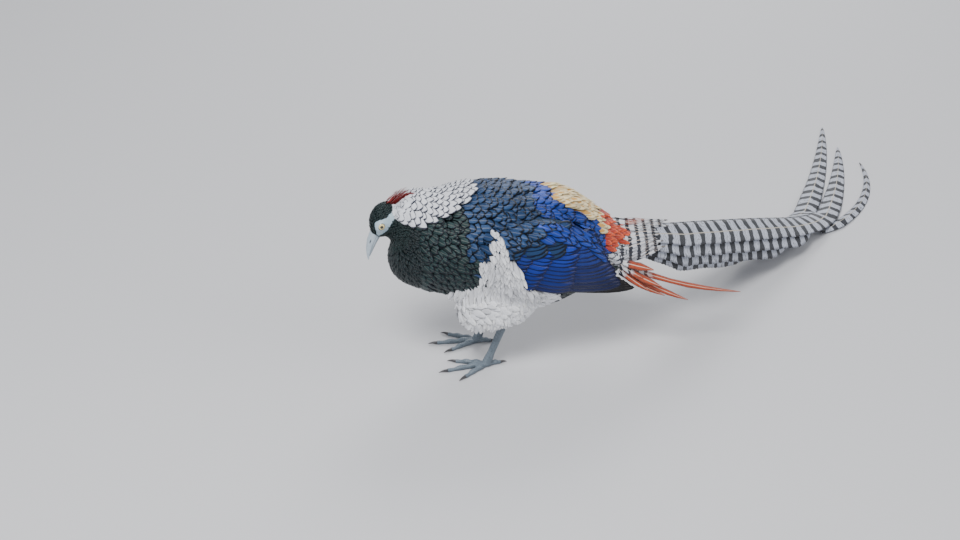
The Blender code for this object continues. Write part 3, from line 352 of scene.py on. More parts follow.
def lie_of_coat(points, normals):
    """Return the way that the feathers lie: from the bill over head and neck to the tail."""
    course = np.stack([BODY_COURSE[:, 0], 0 * BODY_COURSE[:, 0], BODY_COURSE[:, 1]], axis=-1)
    middles, ways = (course[1:] + course[:-1]) / 2, unit(course[1:] - course[:-1])
    far = np.linalg.norm(points[:, None, :] * [1, 0.6, 1] - middles[None], axis=-1)
    near = far.min(axis=1, keepdims=True)
    weight = np.exp(-((far - near) / 9.0) ** 1.2)
    way = (weight[..., None] * ways[None]).sum(axis=1)
    x, y, z = points[:, 0], points[:, 1], points[:, 2]
    way[:, 2] -= 0.25 * np.clip((150.0 - z) / 40.0, 0, 1) * np.clip((x + 90) / 50.0, 0, 1)
    breast = np.clip((-84.0 - x) / 26.0, 0, 1) * np.clip((172.0 - z) / 26.0, 0, 1)
    way = way * (1 - 0.55 * breast)[:, None] - np.array([0.0, 0.0, 1.25]) * breast[:, None]
    legs = np.clip((86.0 - z) / 22.0, 0, 1) * (np.abs(y) > 6) * (x > -66) * (x < 36)
    way = way * (1 - 0.85 * legs)[:, None] + np.array([0.10, 0.0, -1.0]) * legs[:, None]
    way = way - normals * (way * normals).sum(axis=1, keepdims=True)
    return unit(way)


skin_zone = zone_of(skin_points, 0.0)
# The skin shows in the gaps of the coat: its colour is the zone's colour at 0.55, painted shade
# under the feathers.
shaded_skin_tint = ZONE_TABLE["tint"][skin_zone] * 0.55


def with_fourth(colours, fourth):
    """Return colours held between 0 and 1, each with a fourth value."""
    fourth = np.broadcast_to(fourth, (len(colours), 1))
    return np.hstack([np.clip(colours, 0, 1), fourth])


def paint(obj, name, values):
    """Store one colour for each corner of the mesh."""
    layer = obj.data.color_attributes.new(name, "FLOAT_COLOR", "POINT")
    layer.data.foreach_set("color", np.ascontiguousarray(values, dtype=np.float32).ravel())


def node(tree, kind, settings=None, **inputs):
    """Add a shader node; an input is a value or another node's socket, _0 being the first."""
    new = tree.nodes.new(kind)
    for key, value in (settings or {}).items():
        setattr(new, key, value)
    for key, value in inputs.items():
        socket = new.inputs[int(key[1:]) if key[0] == "_" else key.replace("_", " ")]
        if isinstance(value, bpy.types.NodeSocket):
            tree.links.new(value, socket)
        else:
            socket.default_value = value
    return new


def maths(tree, operation, *values):
    """Add a Math node and return its value."""
    inputs = {f"_{i}": value for i, value in enumerate(values)}
    return node(tree, "ShaderNodeMath", {"operation": operation}, **inputs).outputs[0]


def ramp(tree, value, low, high, out_low=0.0, out_high=1.0):
    """Return a soft step from one value to another between two limits."""
    inputs = {"Value": value, "From_Min": low, "From_Max": high, "To_Min": out_low,
              "To_Max": out_high}
    return node(tree, "ShaderNodeMapRange", {"interpolation_type": "SMOOTHSTEP"},
                **inputs).outputs[0]


def blend(tree, share, first, second, kind="MIX"):
    """Mix two colours."""
    mixer = node(tree, "ShaderNodeMix", {"data_type": "RGBA", "blend_type": kind})
    for index, value in ((0, share), (6, first), (7, second)):
        if isinstance(value, bpy.types.NodeSocket):
            tree.links.new(value, mixer.inputs[index])
        elif index:
            mixer.inputs[index].default_value = (*value[:3], 1.0)
        else:
            mixer.inputs[index].default_value = value
    return mixer.outputs[2]


def new_material(name, **shader_values):
    """Start a material and return it with its tree and main shader."""
    material = bpy.data.materials.new(name)
    material.use_nodes = True
    shader = material.node_tree.nodes["Principled BSDF"]
    for key, value in shader_values.items():
        shader.inputs[key.replace("_", " ")].default_value = value
    return material, material.node_tree, shader


def texture(tree, kind, settings=None, **inputs):
    """Add a texture that follows the piece itself, by its Object coordinates."""
    place = node(tree, "ShaderNodeTexCoord").outputs["Object"]
    return node(tree, "ShaderNodeTex" + kind, settings, Vector=place, **inputs)


def clouds(tree, scale, detail):
    """Return a cloudy value that wanders over the piece."""
    return texture(tree, "Noise", Scale=scale, Detail=detail).outputs[0]


def stored(tree, name, output="Fac"):
    """Return a value or a colour that is stored on the piece's corners."""
    return node(tree, "ShaderNodeAttribute", {"attribute_name": name}).outputs[output]


def dress(tree, shader, colour, relief, strength, height, invert=False):
    """Give the main shader its colour and a relief of so many metres."""
    bump = node(tree, "ShaderNodeBump", {"invert": invert}, Strength=strength, Distance=height,
                Height=relief)
    tree.links.new(colour, shader.inputs["Base Color"])
    tree.links.new(bump.outputs[0], shader.inputs["Normal"])


skin_material, tree, shader = new_material("feathered_skin", Roughness=0.9, Specular_IOR_Level=0.1)
down = clouds(tree, 900.0, 4.0)
shade = blend(tree, down, (0.55, 0.55, 0.55), (1.1, 1.1, 1.1))
dress(tree, shader, blend(tree, 1.0, stored(tree, "tint", "Color"), shade, "MULTIPLY"), down,
      0.5, 0.0004)
skin.data.materials.clear()
skin.data.materials.append(skin_material)
paint(skin, "tint", with_fourth(shaded_skin_tint, 1.0))
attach(skin, "root")
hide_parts("torso", "neck", "head", "thigh_left", "thigh_right")


# The body coat: some thousands of small curved contour feathers, each a thin closed vane
# rooted in the skin and lying towards the tail, the tips of one over the roots of the next.
BAKE_PATCH = 0.003
TRIES_PER_FEATHER, CLOSEST_SHARE = 5.0, 0.86


def vane_mesh(name, grid, normals, thick, colours, patches, patch_size, vs=None, full=False):
    """Join many vanes into one mesh: grid is feather, row, column, and normals per row.

    Each is a thin closed body with a flat under side, or one that follows every column.
    """
    count, rows, columns = grid.shape[:3]
    inner = list(range(1, columns - 1)) if full else [columns // 2]
    taper = np.ones(rows)
    taper[0] = taper[-1] = 0.5
    drop = normals[:, :, None, :] * (thick * taper)[None, :, None, None]
    under = grid[:, :, inner] - drop
    size = rows * columns + rows * len(inner)
    points = np.concatenate([grid.reshape(count, -1, 3), under.reshape(count, -1, 3)], axis=1)
    low = {c: rows * columns + i for i, c in enumerate(inner)}

    def top_at(r, c):
        return r * columns + c

    def low_at(r, c):
        return low[c] + r * len(inner) if c in low else top_at(r, c)

    faces = []
    edge = [0] + inner + [columns - 1]
    for r in range(rows - 1):
        for c in range(columns - 1):
            faces.append((top_at(r, c), top_at(r, c + 1), top_at(r + 1, c + 1), top_at(r + 1, c)))
        for a, b in zip(edge, edge[1:]):
            faces.append((low_at(r, b), low_at(r, a), low_at(r + 1, a), low_at(r + 1, b)))
    for r, turn in ((0, -1), (rows - 1, 1)):
        cap = [top_at(r, c) for c in range(columns)] + [low_at(r, c) for c in inner[::-1]]
        faces.append(tuple(cap[::turn]))
    loops = np.concatenate([np.array(f, dtype=np.int64) for f in faces])
    lengths = np.array([len(f) for f in faces])
    all_loops = (loops[None, :] + np.arange(count)[:, None] * size).ravel()
    all_lengths = np.tile(lengths, count)
    mesh = bpy.data.meshes.new(name)
    mesh.vertices.add(count * size)
    mesh.vertices.foreach_set("co", placed(points.reshape(-1, 3)).ravel())
    mesh.loops.add(len(all_loops))
    mesh.polygons.add(len(all_lengths))
    mesh.loops.foreach_set("vertex_index", all_loops.astype(np.int32))
    starts = np.concatenate([[0], np.cumsum(all_lengths)[:-1]]).astype(np.int32)
    mesh.polygons.foreach_set("loop_start", starts)
    mesh.polygons.foreach_set("use_smooth", np.ones(len(all_lengths), dtype=bool))
    mesh.update(calc_edges=True)
    obj = bpy.data.objects.new(name, mesh)
    bpy.context.scene.collection.objects.link(obj)
    vs = np.linspace(0, 1, rows) if vs is None else np.asarray(vs)
    vs = np.broadcast_to(vs, (count, rows))
    us = np.linspace(0, 1, columns)
    full_u = np.concatenate([np.tile(us, rows), np.tile(us[inner], rows)])
    full_v = np.concatenate([np.repeat(vs, columns, axis=1), np.repeat(vs, len(inner), axis=1)],
                            axis=1)
    at_u = np.broadcast_to(full_u, (count, size)).ravel()
    at_v = full_v.ravel()
    vane_map = mesh.uv_layers.new(name="vane")
    vane_map.data.foreach_set("uv", np.stack([at_u, at_v], axis=-1)[all_loops].ravel())
    share = (at_v.reshape(count, size) - vs[:, :1]) / np.maximum(vs[:, -1:] - vs[:, :1], 1e-6)
    patch_size = np.broadcast_to(np.asarray(patch_size, dtype=float), (count, 2))
    bake = np.stack([patches[:, None, 0] + (full_u[None] - 0.5) * patch_size[:, None, 0],
                     patches[:, None, 1] + (share - 0.5) * patch_size[:, None, 1]], axis=-1)
    bake_map = mesh.uv_layers.new(name="OFBake")
    bake_map.data.foreach_set("uv", bake.reshape(-1, 2)[all_loops].ravel())
    for key, values in colours.items():
        paint(obj, key, np.repeat(np.broadcast_to(values, (count, 4)), size, axis=0))
    return obj


def patch_grid(count, across):
    """Return the middles of the vanes' bake patches, laid out so many to a row."""
    cells = np.arange(count)
    return np.stack([(cells % across + 0.5) / across, (cells // across + 0.5) / across], axis=-1)


def vane_place(tree):
    """Return how far off its shaft and how far along it a place on a vane lies."""
    uv = node(tree, "ShaderNodeUVMap", {"uv_map": "vane"}).outputs[0]
    parts = node(tree, "ShaderNodeSeparateXYZ", Vector=uv)
    across = maths(tree, "ABSOLUTE", maths(tree, "MULTIPLY_ADD", parts.outputs[0], 2.0, -1.0))
    return across, parts.outputs[1]


def feather_material(name, metal=0.0, rough=0.5, sheen=0.0, barbs=16.0, slant=0.5, depth=0.35):
    """Make vane material: tint and rim from the feather's own colours, barbs, a shaft and painted
    shade towards the root.
    """
    material, tree, shader = new_material(name, Metallic=metal, Roughness=rough,
                                          Sheen_Weight=sheen, Sheen_Roughness=0.4)
    across, along = vane_place(tree)
    reach = maths(tree, "MULTIPLY_ADD", along, 2.0, -1.0)
    square = maths(tree, "ADD", maths(tree, "MULTIPLY", across, across),
                   maths(tree, "MULTIPLY", reach, maths(tree, "MAXIMUM", reach, 0.0)))
    far = maths(tree, "ADD", maths(tree, "SQRT", square), -0.08)
    far = maths(tree, "MULTIPLY_ADD", clouds(tree, 700.0, 2.0), 0.16, far)
    start = maths(tree, "SUBTRACT", 1.0, stored(tree, "rim", "Alpha"))
    mask = maths(tree, "MULTIPLY", maths(tree, "SUBTRACT", far, start), 7.0)
    mask = node(tree, "ShaderNodeClamp", Value=mask).outputs[0]
    phase = maths(tree, "MULTIPLY", maths(tree, "MULTIPLY_ADD", across, -slant, along),
                  barbs * 2 * math.pi)
    barb = maths(tree, "MULTIPLY_ADD", maths(tree, "SINE", phase), 0.5, 0.5)
    colour = blend(tree, mask, stored(tree, "tint", "Color"), stored(tree, "rim", "Color"))
    # Painted shade: each vane is darker towards its root, where the feather above covers it; the
    # barbs vary its lightness as well.
    light = maths(tree, "MULTIPLY", ramp(tree, along, 0.0, 0.5, 0.55, 1.0),
                  maths(tree, "MULTIPLY_ADD", barb, depth, 1.0 - depth * 0.6))
    grey = node(tree, "ShaderNodeCombineColor", _0=light, _1=light, _2=light).outputs[0]
    colour = blend(tree, 1.0, colour, grey, "MULTIPLY")
    shaft = ramp(tree, across, 0.03, 0.10, 0.35, 0.0)
    colour = blend(tree, shaft, colour, blend(tree, 0.5, colour, (0.5, 0.45, 0.4)))
    dress(tree, shader, colour, barb, 0.45, 0.0003)
    return material


def scatter(zones, random):
    """Spread roots evenly over the skin in the given zones."""
    a, b, c = (skin_points[skin_triangles[:, k]] for k in range(3))
    areas = np.linalg.norm(np.cross(b - a, c - a), axis=1) / 2
    zone_here = zone_of(skin_points[skin_triangles].mean(axis=1))
    roots, kinds = [], []
    for name in zones:
        number = ZONE_NAMES.index(name)
        picked = np.flatnonzero(zone_here == number)
        if not len(picked):
            continue
        spacing = float(ZONE_TABLE["spacing"][number])
        wanted = int(areas[picked].sum() / spacing ** 2 * TRIES_PER_FEATHER)
        chosen = random.choice(picked, size=wanted, p=areas[picked] / areas[picked].sum())
        u, v = random.random((2, wanted))
        turn = u + v > 1
        u, v = np.where(turn, 1 - u, u)[:, None], np.where(turn, 1 - v, v)[:, None]
        here = a[chosen] * (1 - u - v) + b[chosen] * u + c[chosen] * v
        taken = {}
        for point in here.tolist():
            cell = tuple(int(place // spacing) for place in point)
            near = (q for dx in (-1, 0, 1) for dy in (-1, 0, 1) for dz in (-1, 0, 1)
                    for q in taken.get((cell[0] + dx, cell[1] + dy, cell[2] + dz), ()))
            if all((p0 - point[0]) ** 2 + (p1 - point[1]) ** 2 + (p2 - point[2]) ** 2
                   > (CLOSEST_SHARE * spacing) ** 2 for p0, p1, p2 in near):
                taken.setdefault(cell, []).append(point)
                roots.append(point)
                kinds.append(number)
    return np.array(roots), np.array(kinds)


def on_skin(points):
    """Return the nearest places on the skin and the way out there."""
    near = [skin_tree.find_nearest(p) for p in points.tolist()]
    return np.array([tuple(hit[0]) for hit in near]), np.array([tuple(hit[1]) for hit in near])


def run_of(places):
    """Return how far along a row of places each of them lies."""
    return np.concatenate([[0], np.cumsum(np.linalg.norm(np.diff(places, axis=0), axis=1))])


def unwrap_at(points):
    """Return each point's place on an unwrap of the body: along it and round it."""
    reach = run_of(BODY_COURSE)
    fine = np.linspace(0, reach[-1], 200)
    line = np.stack([np.interp(fine, reach, BODY_COURSE[:, k]) for k in (0, 1)], axis=-1)
    gap = np.linalg.norm(points[:, None, [0, 2]] - line[None], axis=-1)
    nearest = gap.argmin(axis=1)
    turn = np.arctan2(points[:, 1], points[:, 2] - line[nearest, 1])
    return np.stack([0.03 + 0.94 * nearest / 199, 0.03 + 0.94 * (turn / math.pi + 1) / 2], axis=-1)


def rounded(parts, root=0.5, full=0.4, start=0.6, blunt=0.16):
    """Return the share of its width that a rounded feather has at shares of its length."""
    parts = np.asarray(parts)
    swell = root + (1 - root) * np.clip(parts / full, 0, 1) ** 0.8
    tip = np.clip((parts - start) / (1 - start), 0, 1)
    return swell * np.maximum(np.sqrt(np.maximum(1 - tip ** 2, 0)), blunt * (parts < 0.999))


def bowed(first, middle, last, t):
    """Return places at shares t of a curve from first through middle to last."""
    bend = 2 * middle - (first + last) / 2
    return (1 - t) ** 2 * first + 2 * t * (1 - t) * bend + t ** 2 * last


def square_to(line, ways):
    """Return the ways turned square to their line, and the way across it at each place."""
    step = unit(np.gradient(line, axis=-2))
    ways = unit(ways - step * (ways * step).sum(axis=-1, keepdims=True))
    return ways, np.cross(step, ways)


def contour_feathers(roots, kinds, parts, columns, random, spread=0.10):
    """Lay a feather on the skin from each root; return its grid and normals."""
    count = len(roots)
    length = ZONE_TABLE["length"][kinds] * (1 + 0.13 * random.standard_normal(count))
    width = ZONE_TABLE["width"][kinds] * (1 + 0.08 * random.standard_normal(count))
    lift = ZONE_TABLE["lift"][kinds] * (1 + 0.16 * random.standard_normal(count))
    base, out = on_skin(roots)
    way = lie_of_coat(base, out)
    side = np.cross(way, out)
    way = unit(way + side * (spread * random.standard_normal(count))[:, None])
    mid, mid_out = on_skin(base + way * (length * 0.5)[:, None])
    tip_way = unit(mid - base)
    tip, tip_out = on_skin(mid + tip_way * (length * 0.5)[:, None])
    first = base - out * 0.4
    middle = mid + mid_out * (lift * 0.62)[:, None]
    last = tip + tip_out * lift[:, None]
    t = np.asarray(parts)[None, :, None]
    line = bowed(first[:, None], middle[:, None], last[:, None], t)
    normals, beside = square_to(line, unit(out[:, None] * (1 - t) + tip_out[:, None] * t))
    q = np.linspace(-1, 1, columns)
    share = rounded(parts)[None, :, None]
    half = width[:, None, None] / 2 * share * q[None, None, :]
    cup = 0.10 * width[:, None, None] * share * q[None, None, :] ** 2
    grid = (line[:, :, None] + beside[:, :, None] * half[..., None]
            - normals[:, :, None] * cup[..., None])
    return grid, normals


def zone_colours(kinds, places, random, spread=0.10):
    """Return the tint and rim of each feather of the body, varied as real ones are."""
    count = len(kinds)
    shade = 1 + spread * random.standard_normal((count, 1)) + 0.10 * noise(places, 22.0)[:, None]
    wide = ZONE_TABLE["rim_width"][kinds][:, None]
    wide = wide * (1 + 0.15 * random.standard_normal((count, 1)))
    return {"tint": with_fourth(ZONE_TABLE["tint"][kinds] * shade, 1.0),
            "rim": with_fourth(ZONE_TABLE["rim"][kinds] * shade, wide)}


# The wing's plane: x, height of its middle, half height and how far off the spine it lies
wing_at = smooth((
    (-36, 153.5, 7.0, 51.0), (-20, 155.0, 21.0, 54.0), (0, 152.5, 31.5, 58.0),
    (20, 148.0, 39.0, 59.0), (40, 145.5, 42.5, 58.0), (70, 138.5, 41.5, 54.5),
    (90, 126.0, 34.0, 49.0), (105, 113.5, 24.5, 44.5), (120, 95.0, 11.0, 39.5),
    (142, 81.5, 2.0, 33.0),
))
# The nape's core under the cape by place, and how far round it the cape reaches, in degrees
cape_axis = smooth([(-0.7, -121, 187), (0, -111, 186), (1, -95, 177), (2, -75, 165),
                    (3, -55, 156), (4, -38, 150)])
cape_half_turn = smooth([(-0.7, 84), (0.0, 96), (0.5, 96), (1.2, 86), (2.0, 62), (2.8, 42),
                         (3.5, 25), (3.95, 10)])
CAPE_TILT = math.radians(14.0)
CAPE_UP = np.array([math.sin(CAPE_TILT), 0.0, math.cos(CAPE_TILT)])
# The bare face: its middle line and half width at places down the side of the skull
FACE_MIDDLE = smooth([(-15, -1.4), (-4, 0.0), (5, 2.6), (11, 1.2), (19, -0.9)])
FACE_HALF = smooth([(-15, 2.4), (-9, 3.2), (-2, 4.6), (5, 7.4), (11, 5.4), (15, 2.8), (19, 0.7)])
FACE_SPAN = (-15.0, 18.6)
FACE_OVERHANG = 2.6


def on_face(points):
    """Tell which places lie on the bare skin or so near it that a feather would cover it."""
    out = on_skin(points)[1]
    bare = np.zeros(len(points), dtype=bool)
    for shift in (0.0, 0.5, 1.0):
        spots = points + lie_of_coat(points, out) * (shift * FACE_OVERHANG)
        rel = spots - HEAD_CENTRE
        along, up = rel @ HEAD_AXIS, rel @ HEAD_UP
        bare |= ((np.abs(rel[:, 1]) > 4.0) & (along > FACE_SPAN[0]) & (along < FACE_SPAN[1])
                 & (np.abs(up - FACE_MIDDLE(along)) < FACE_HALF(along) - 0.5))
    return bare & (on_head(points) > 0.0)


def hidden(points):
    """Tell which places lie well under the wings or the cape, where no coat is needed."""
    middle, half, _ = wing_at(points[:, 0])
    under_wing = ((points[:, 0] > -22) & (points[:, 0] < 112)
                  & (np.abs(points[:, 2] - middle) < half - 11) & (np.abs(points[:, 1]) > 20))
    places = np.linspace(-0.7, 4, 95)
    x, z = cape_axis(places)
    gap = (points[:, None, 0] - x[None]) ** 2 + (points[:, None, 2] - z[None]) ** 2
    along = gap.argmin(axis=1)
    start = np.stack([x[along], 0 * x[along], z[along]], axis=-1)
    rise = (points - start) @ CAPE_UP
    turn = np.abs(np.degrees(np.arctan2(points[:, 1], rise)))
    under_cape = ((places[along] > 0.35) & (places[along] < 3.0)
                  & (turn < cape_half_turn(places[along]) - 20) & (rise > 0))
    return under_wing | under_cape | on_face(points)


# Coats: name, zones, shares of a feather's length with a row, columns, thickness and look
BROAD_PARTS = (0, 0.35, 0.62, 0.82, 0.95, 1.0)
LONG_PARTS = (0, 0.3, 0.58, 0.78, 0.92, 0.98, 1.0)
COATS = (
    ("coat_face", ("face",), (0, 0.4, 0.72, 0.92, 1.0), 3, 0.12, "dark"),
    ("coat_collar", ("collar",), BROAD_PARTS, 5, 0.16, "white"),
    ("coat_throat", ("throat",), BROAD_PARTS, 5, 0.14, "dark"),
    ("coat_breast", ("breast",), BROAD_PARTS, 5, 0.22, "dark"),
    ("coat_mantle", ("mantle", "back"), BROAD_PARTS, 5, 0.24, "dark"),
    ("coat_belly", ("belly", "thigh"), LONG_PARTS, 5, 0.15, "white"),
    ("coat_rump", ("rump", "vermilion", "tail_side"), LONG_PARTS, 5, 0.18, "rump"),
    ("coat_vent", ("vent",), (0, 0.3, 0.6, 0.85, 1.0), 5, 0.24, "dark"),
)
coat_materials = {
    "dark": feather_material("dark_coat", metal=0.45, rough=0.42, barbs=9.0),
    "white": feather_material("white_coat", rough=0.7, sheen=0.35, barbs=9.0, depth=0.12),
    "rump": feather_material("rump_coat", rough=0.6, sheen=0.25, barbs=12.0, depth=0.25),
}
random = np.random.default_rng(41)
for name, zones, parts, columns, thick, look in COATS:
    roots, kinds = scatter(zones, random)
    seen = ~hidden(roots)
    roots, kinds = roots[seen], kinds[seen]
    grid, normals = contour_feathers(roots, kinds, parts, columns, random)
    coat = vane_mesh(name, grid, normals, thick, zone_colours(kinds, roots, random),
                     unwrap_at(roots), BAKE_PATCH, parts)
    coat.data.materials.append(coat_materials[look])
    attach(coat, "root")


# The wings: a padded fold of arm and muscle against each flank, and over it the flight
# feathers and their coverts, tier by tier, each vane tucked under the one above like a slat.
WING_SLANT = 2.4
# Tiers: count, roots and tips of the first and last feather (x, z), width, height at the
# root and tip, share of the length where it has risen, bow, and colour
PRIMARY_BROWN, WING_BLUE = (0.030, 0.026, 0.034), (0.010, 0.046, 0.42)
SECONDARY_BLUE, SCAPULAR_TEAL = (0.012, 0.038, 0.28), (0.014, 0.048, 0.135)
WING_TIERS = (
    (8, (66, 119), (38, 106), (118, 103), (141, 83), 9.0, -0.8, 1.0, 0.55, 1.5, PRIMARY_BROWN),
    (14, (46, 164), (24, 117), (94, 156), (124, 92), 13.5, -0.6, 3.1, 0.5, 2.0, SECONDARY_BLUE),
    (12, (34, 160), (6, 121), (74, 152), (66, 102), 11.5, 0.4, 3.8, 0.8, 1.5, WING_BLUE),
    (11, (20, 160), (-9, 124), (50, 152), (24, 111), 10.5, 0.6, 3.9, 0.9, 1.2, WING_BLUE),
    (8, (4, 160), (-14, 138), (31, 155), (8, 125), 9.5, 0.6, 3.6, 0.9, 1.0, SECONDARY_BLUE),
    (7, (-9, 160), (-22, 144), (14, 157), (-6, 136), 9.0, 0.4, 3.4, 0.9, 0.8, SCAPULAR_TEAL),
    (6, (-20, 160), (-29, 150), (0, 158), (-15, 142), 8.5, 0.2, 3.0, 0.9, 0.6, SCAPULAR_TEAL),
    (6, (28, 170), (19, 150), (66, 172), (58, 150), 12.0, 0.8, 4.6, 0.8, 1.4, SCAPULAR_TEAL),
    (6, (8, 171), (2, 152), (44, 174), (36, 153), 11.5, 0.8, 4.6, 0.8, 1.2, SCAPULAR_TEAL),
    (5, (-9, 168), (-13, 154), (22, 174), (14, 157), 11.0, 0.6, 4.2, 0.8, 1.0, SCAPULAR_TEAL),
)
WING_PARTS = (0.0, 0.18, 0.36, 0.54, 0.7, 0.82, 0.91, 0.97, 1.0)
WING_COLUMNS = 7
CORE_START, CORE_RUN = -27.0, 129.0
# The wing's plane curves in above and below its middle, and blends into the flank
CURVE_SPAN, CURVE_ABOVE, CURVE_BELOW, FLANK_BLEND = 42.0, 19.0, 7.0, 60.0
wing_core_share = smooth([(-36, 1.0), (-10, 0.93), (60, 0.84), (104, 0.7)])


def wing_base(x, z):
    """Return how far off the spine the wing's plane lies, never inside the flank."""
    centre, high, wide = trunk_at(x)
    flank = wide * np.sqrt(np.maximum(0.0, 1.0 - ((z - centre) / np.maximum(high, 1e-6)) ** 2))
    middle, _, plate = wing_at(x)
    drop = (z - middle) / CURVE_SPAN
    plate = plate - np.where(drop > 0, CURVE_ABOVE, CURVE_BELOW) * drop * drop
    return 0.5 * (flank + plate + np.sqrt((flank - plate) ** 2 + FLANK_BLEND))


def wing_point(x, z, height, side):
    """Return places at a height square to the wing's plane, and the way out there."""
    out = wing_base(x, z)
    slope_x, slope_z = wing_base(x + 1.0, z) - out, wing_base(x, z + 1.0) - out
    normal = unit(np.stack([-slope_x, np.ones_like(out), -slope_z], axis=-1))
    place = np.stack([x, out, z], axis=-1) + normal * np.asarray(height)[..., None]
    mirror = np.array([1.0, side, 1.0])
    return place * mirror, normal * mirror


def wing_core(side, name, rise=0.9):
    """Wrap the padded fold of the wing under its feathers, or a form that stands higher."""
    rings = []
    turns = turns_round(16)
    for x in CORE_START + CORE_RUN * (0.5 - 0.5 * np.cos(math.pi * np.linspace(0, 1, 16))):
        middle, half, _ = wing_at(x)
        half = half * wing_core_share(x)
        height = -0.8 + np.where(np.sin(turns) < 0, 3.0 + 9.0 * half / 33.0, rise) * np.sin(turns)
        level = middle + half * np.cos(turns)
        rings.append(wing_point(np.full(len(turns), x), level, height, side)[0])
    return wrap(name, rings)


def wing_feathers(side, random):
    """Lay out every feather of one wing; return grids, normals and colours."""
    grids, normals, tints, rims = [], [], [], []
    parts = np.array(WING_PARTS)
    q = np.linspace(-1, 1, WING_COLUMNS)
    for tier, row in enumerate(WING_TIERS):
        count, root_a, root_b, tip_a, tip_b, width, low, high, rise, bow, tint = row
        for k in range(count):
            part = k / (count - 1)
            root = np.array(root_a) * (1 - part) + np.array(root_b) * part
            tip = np.array(tip_a) * (1 - part) + np.array(tip_b) * part
            tip = tip + random.normal(0, 0.8, 2)
            run = tip - root
            across = unit([-run[1], run[0]])
            share = rounded(parts, root=0.5, full=0.3, start=0.68)
            line = root + run * parts[:, None] - across * (bow * np.sin(math.pi * parts))[:, None]
            wide = width / 2 * (1 + 0.05 * random.standard_normal())
            flat = line[:, None] + across * (q * wide)[None, :, None] * share[:, None, None]
            height = low + (high - low) * np.minimum(1.0, parts / rise)
            level = (height[:, None] - q[None] * share[:, None] * WING_SLANT / 2
                     - 0.5 * q[None] ** 2 * share[:, None])
            grid, way = wing_point(flat[..., 0], flat[..., 1], level, side)
            grids.append(grid if side > 0 else grid[:, ::-1])
            normals.append(way[:, WING_COLUMNS // 2])
            shade = 1 + 0.10 * random.standard_normal()
            # Painted shade: feathers whose tips lie lower on the wing are darker, down to 0.18 of
            # their colour.
            painted_low_shade = np.interp(line[-1, 1], [85, 101, 131, 155], [0.18, 0.28, 0.64, 1.0])
            tints.append([*np.clip(np.array(tint) * shade * painted_low_shade, 0, 1), 1.0])
            rims.append([*(np.array(tint) * 0.18), 0.13 if tier < 2 else 0.2])
    return np.array(grids), np.array(normals), {"tint": np.array(tints), "rim": np.array(rims)}


wing_material = feather_material("wing_vanes", metal=0.5, rough=0.36, barbs=22.0, slant=0.35,
                                 depth=0.25)
core_material, tree, shader = new_material("wing_core", Roughness=0.75)
barbs = texture(tree, "Wave", Scale=150.0, Distortion=6.0).outputs[1]
colour = blend(tree, clouds(tree, 70.0, 5.0), (0.004, 0.012, 0.030), (0.012, 0.055, 0.130))
colour = blend(tree, ramp(tree, barbs, 0.0, 0.5, 0.4, 0.0), colour, (0.002, 0.005, 0.014))
dress(tree, shader, colour, barbs, 0.5, 0.0004)
for side, end in SIDES:
    core = wing_core(side, "wing_fold_" + end)
    bpy.ops.object.shade_smooth()
    core.data.materials.append(core_material)
    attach(core, "root")
    grid, normals, colours = wing_feathers(side, random)
    wing = vane_mesh("feathers_wing_" + end, grid, normals, 0.35, colours,
                     patch_grid(len(grid), 10), (0.08, 0.09), WING_PARTS, full=True)
    wing.data.materials.append(wing_material)
    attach(wing, "root")
    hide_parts("wing_" + end)


# The cape: a shawl of broad white feathers over the nape and the sides of the neck, each
# with a dark rim, in tiers from the crest back to the mantle.
CAPE_PLACES = np.concatenate([np.arange(-0.30, 0.6, 0.13), np.arange(0.62, 4.0, 0.25)])
CAPE_FULL = 0.62
CAPE_SPACING, CAPE_LENGTH, CAPE_WIDTH, CAPE_LIFT = 7.4, 17.0, 11.6, 4.9
CREST_HALF_TURN = math.radians(26.0)
CAPE_PITCH = 21.5
CAPE_PARTS = (0.0, 0.3, 0.55, 0.75, 0.9, 0.97, 1.0)
CAPE_COLUMNS = 7
CAPE_WHITE = (0.78, 0.80, 0.86)


def cape_point(place, turn, height):
    """Return a place off the nape: turn is 0 over the spine and negative to the left."""
    x, z = cape_axis(place)
    axis = np.array([float(x), 0.0, float(z)])
    way = CAPE_UP * math.cos(turn) + np.array([0.0, math.sin(turn), 0.0])
    hit = skin_below(axis, way)
    return hit + way * height, way, np.linalg.norm(hit - axis)


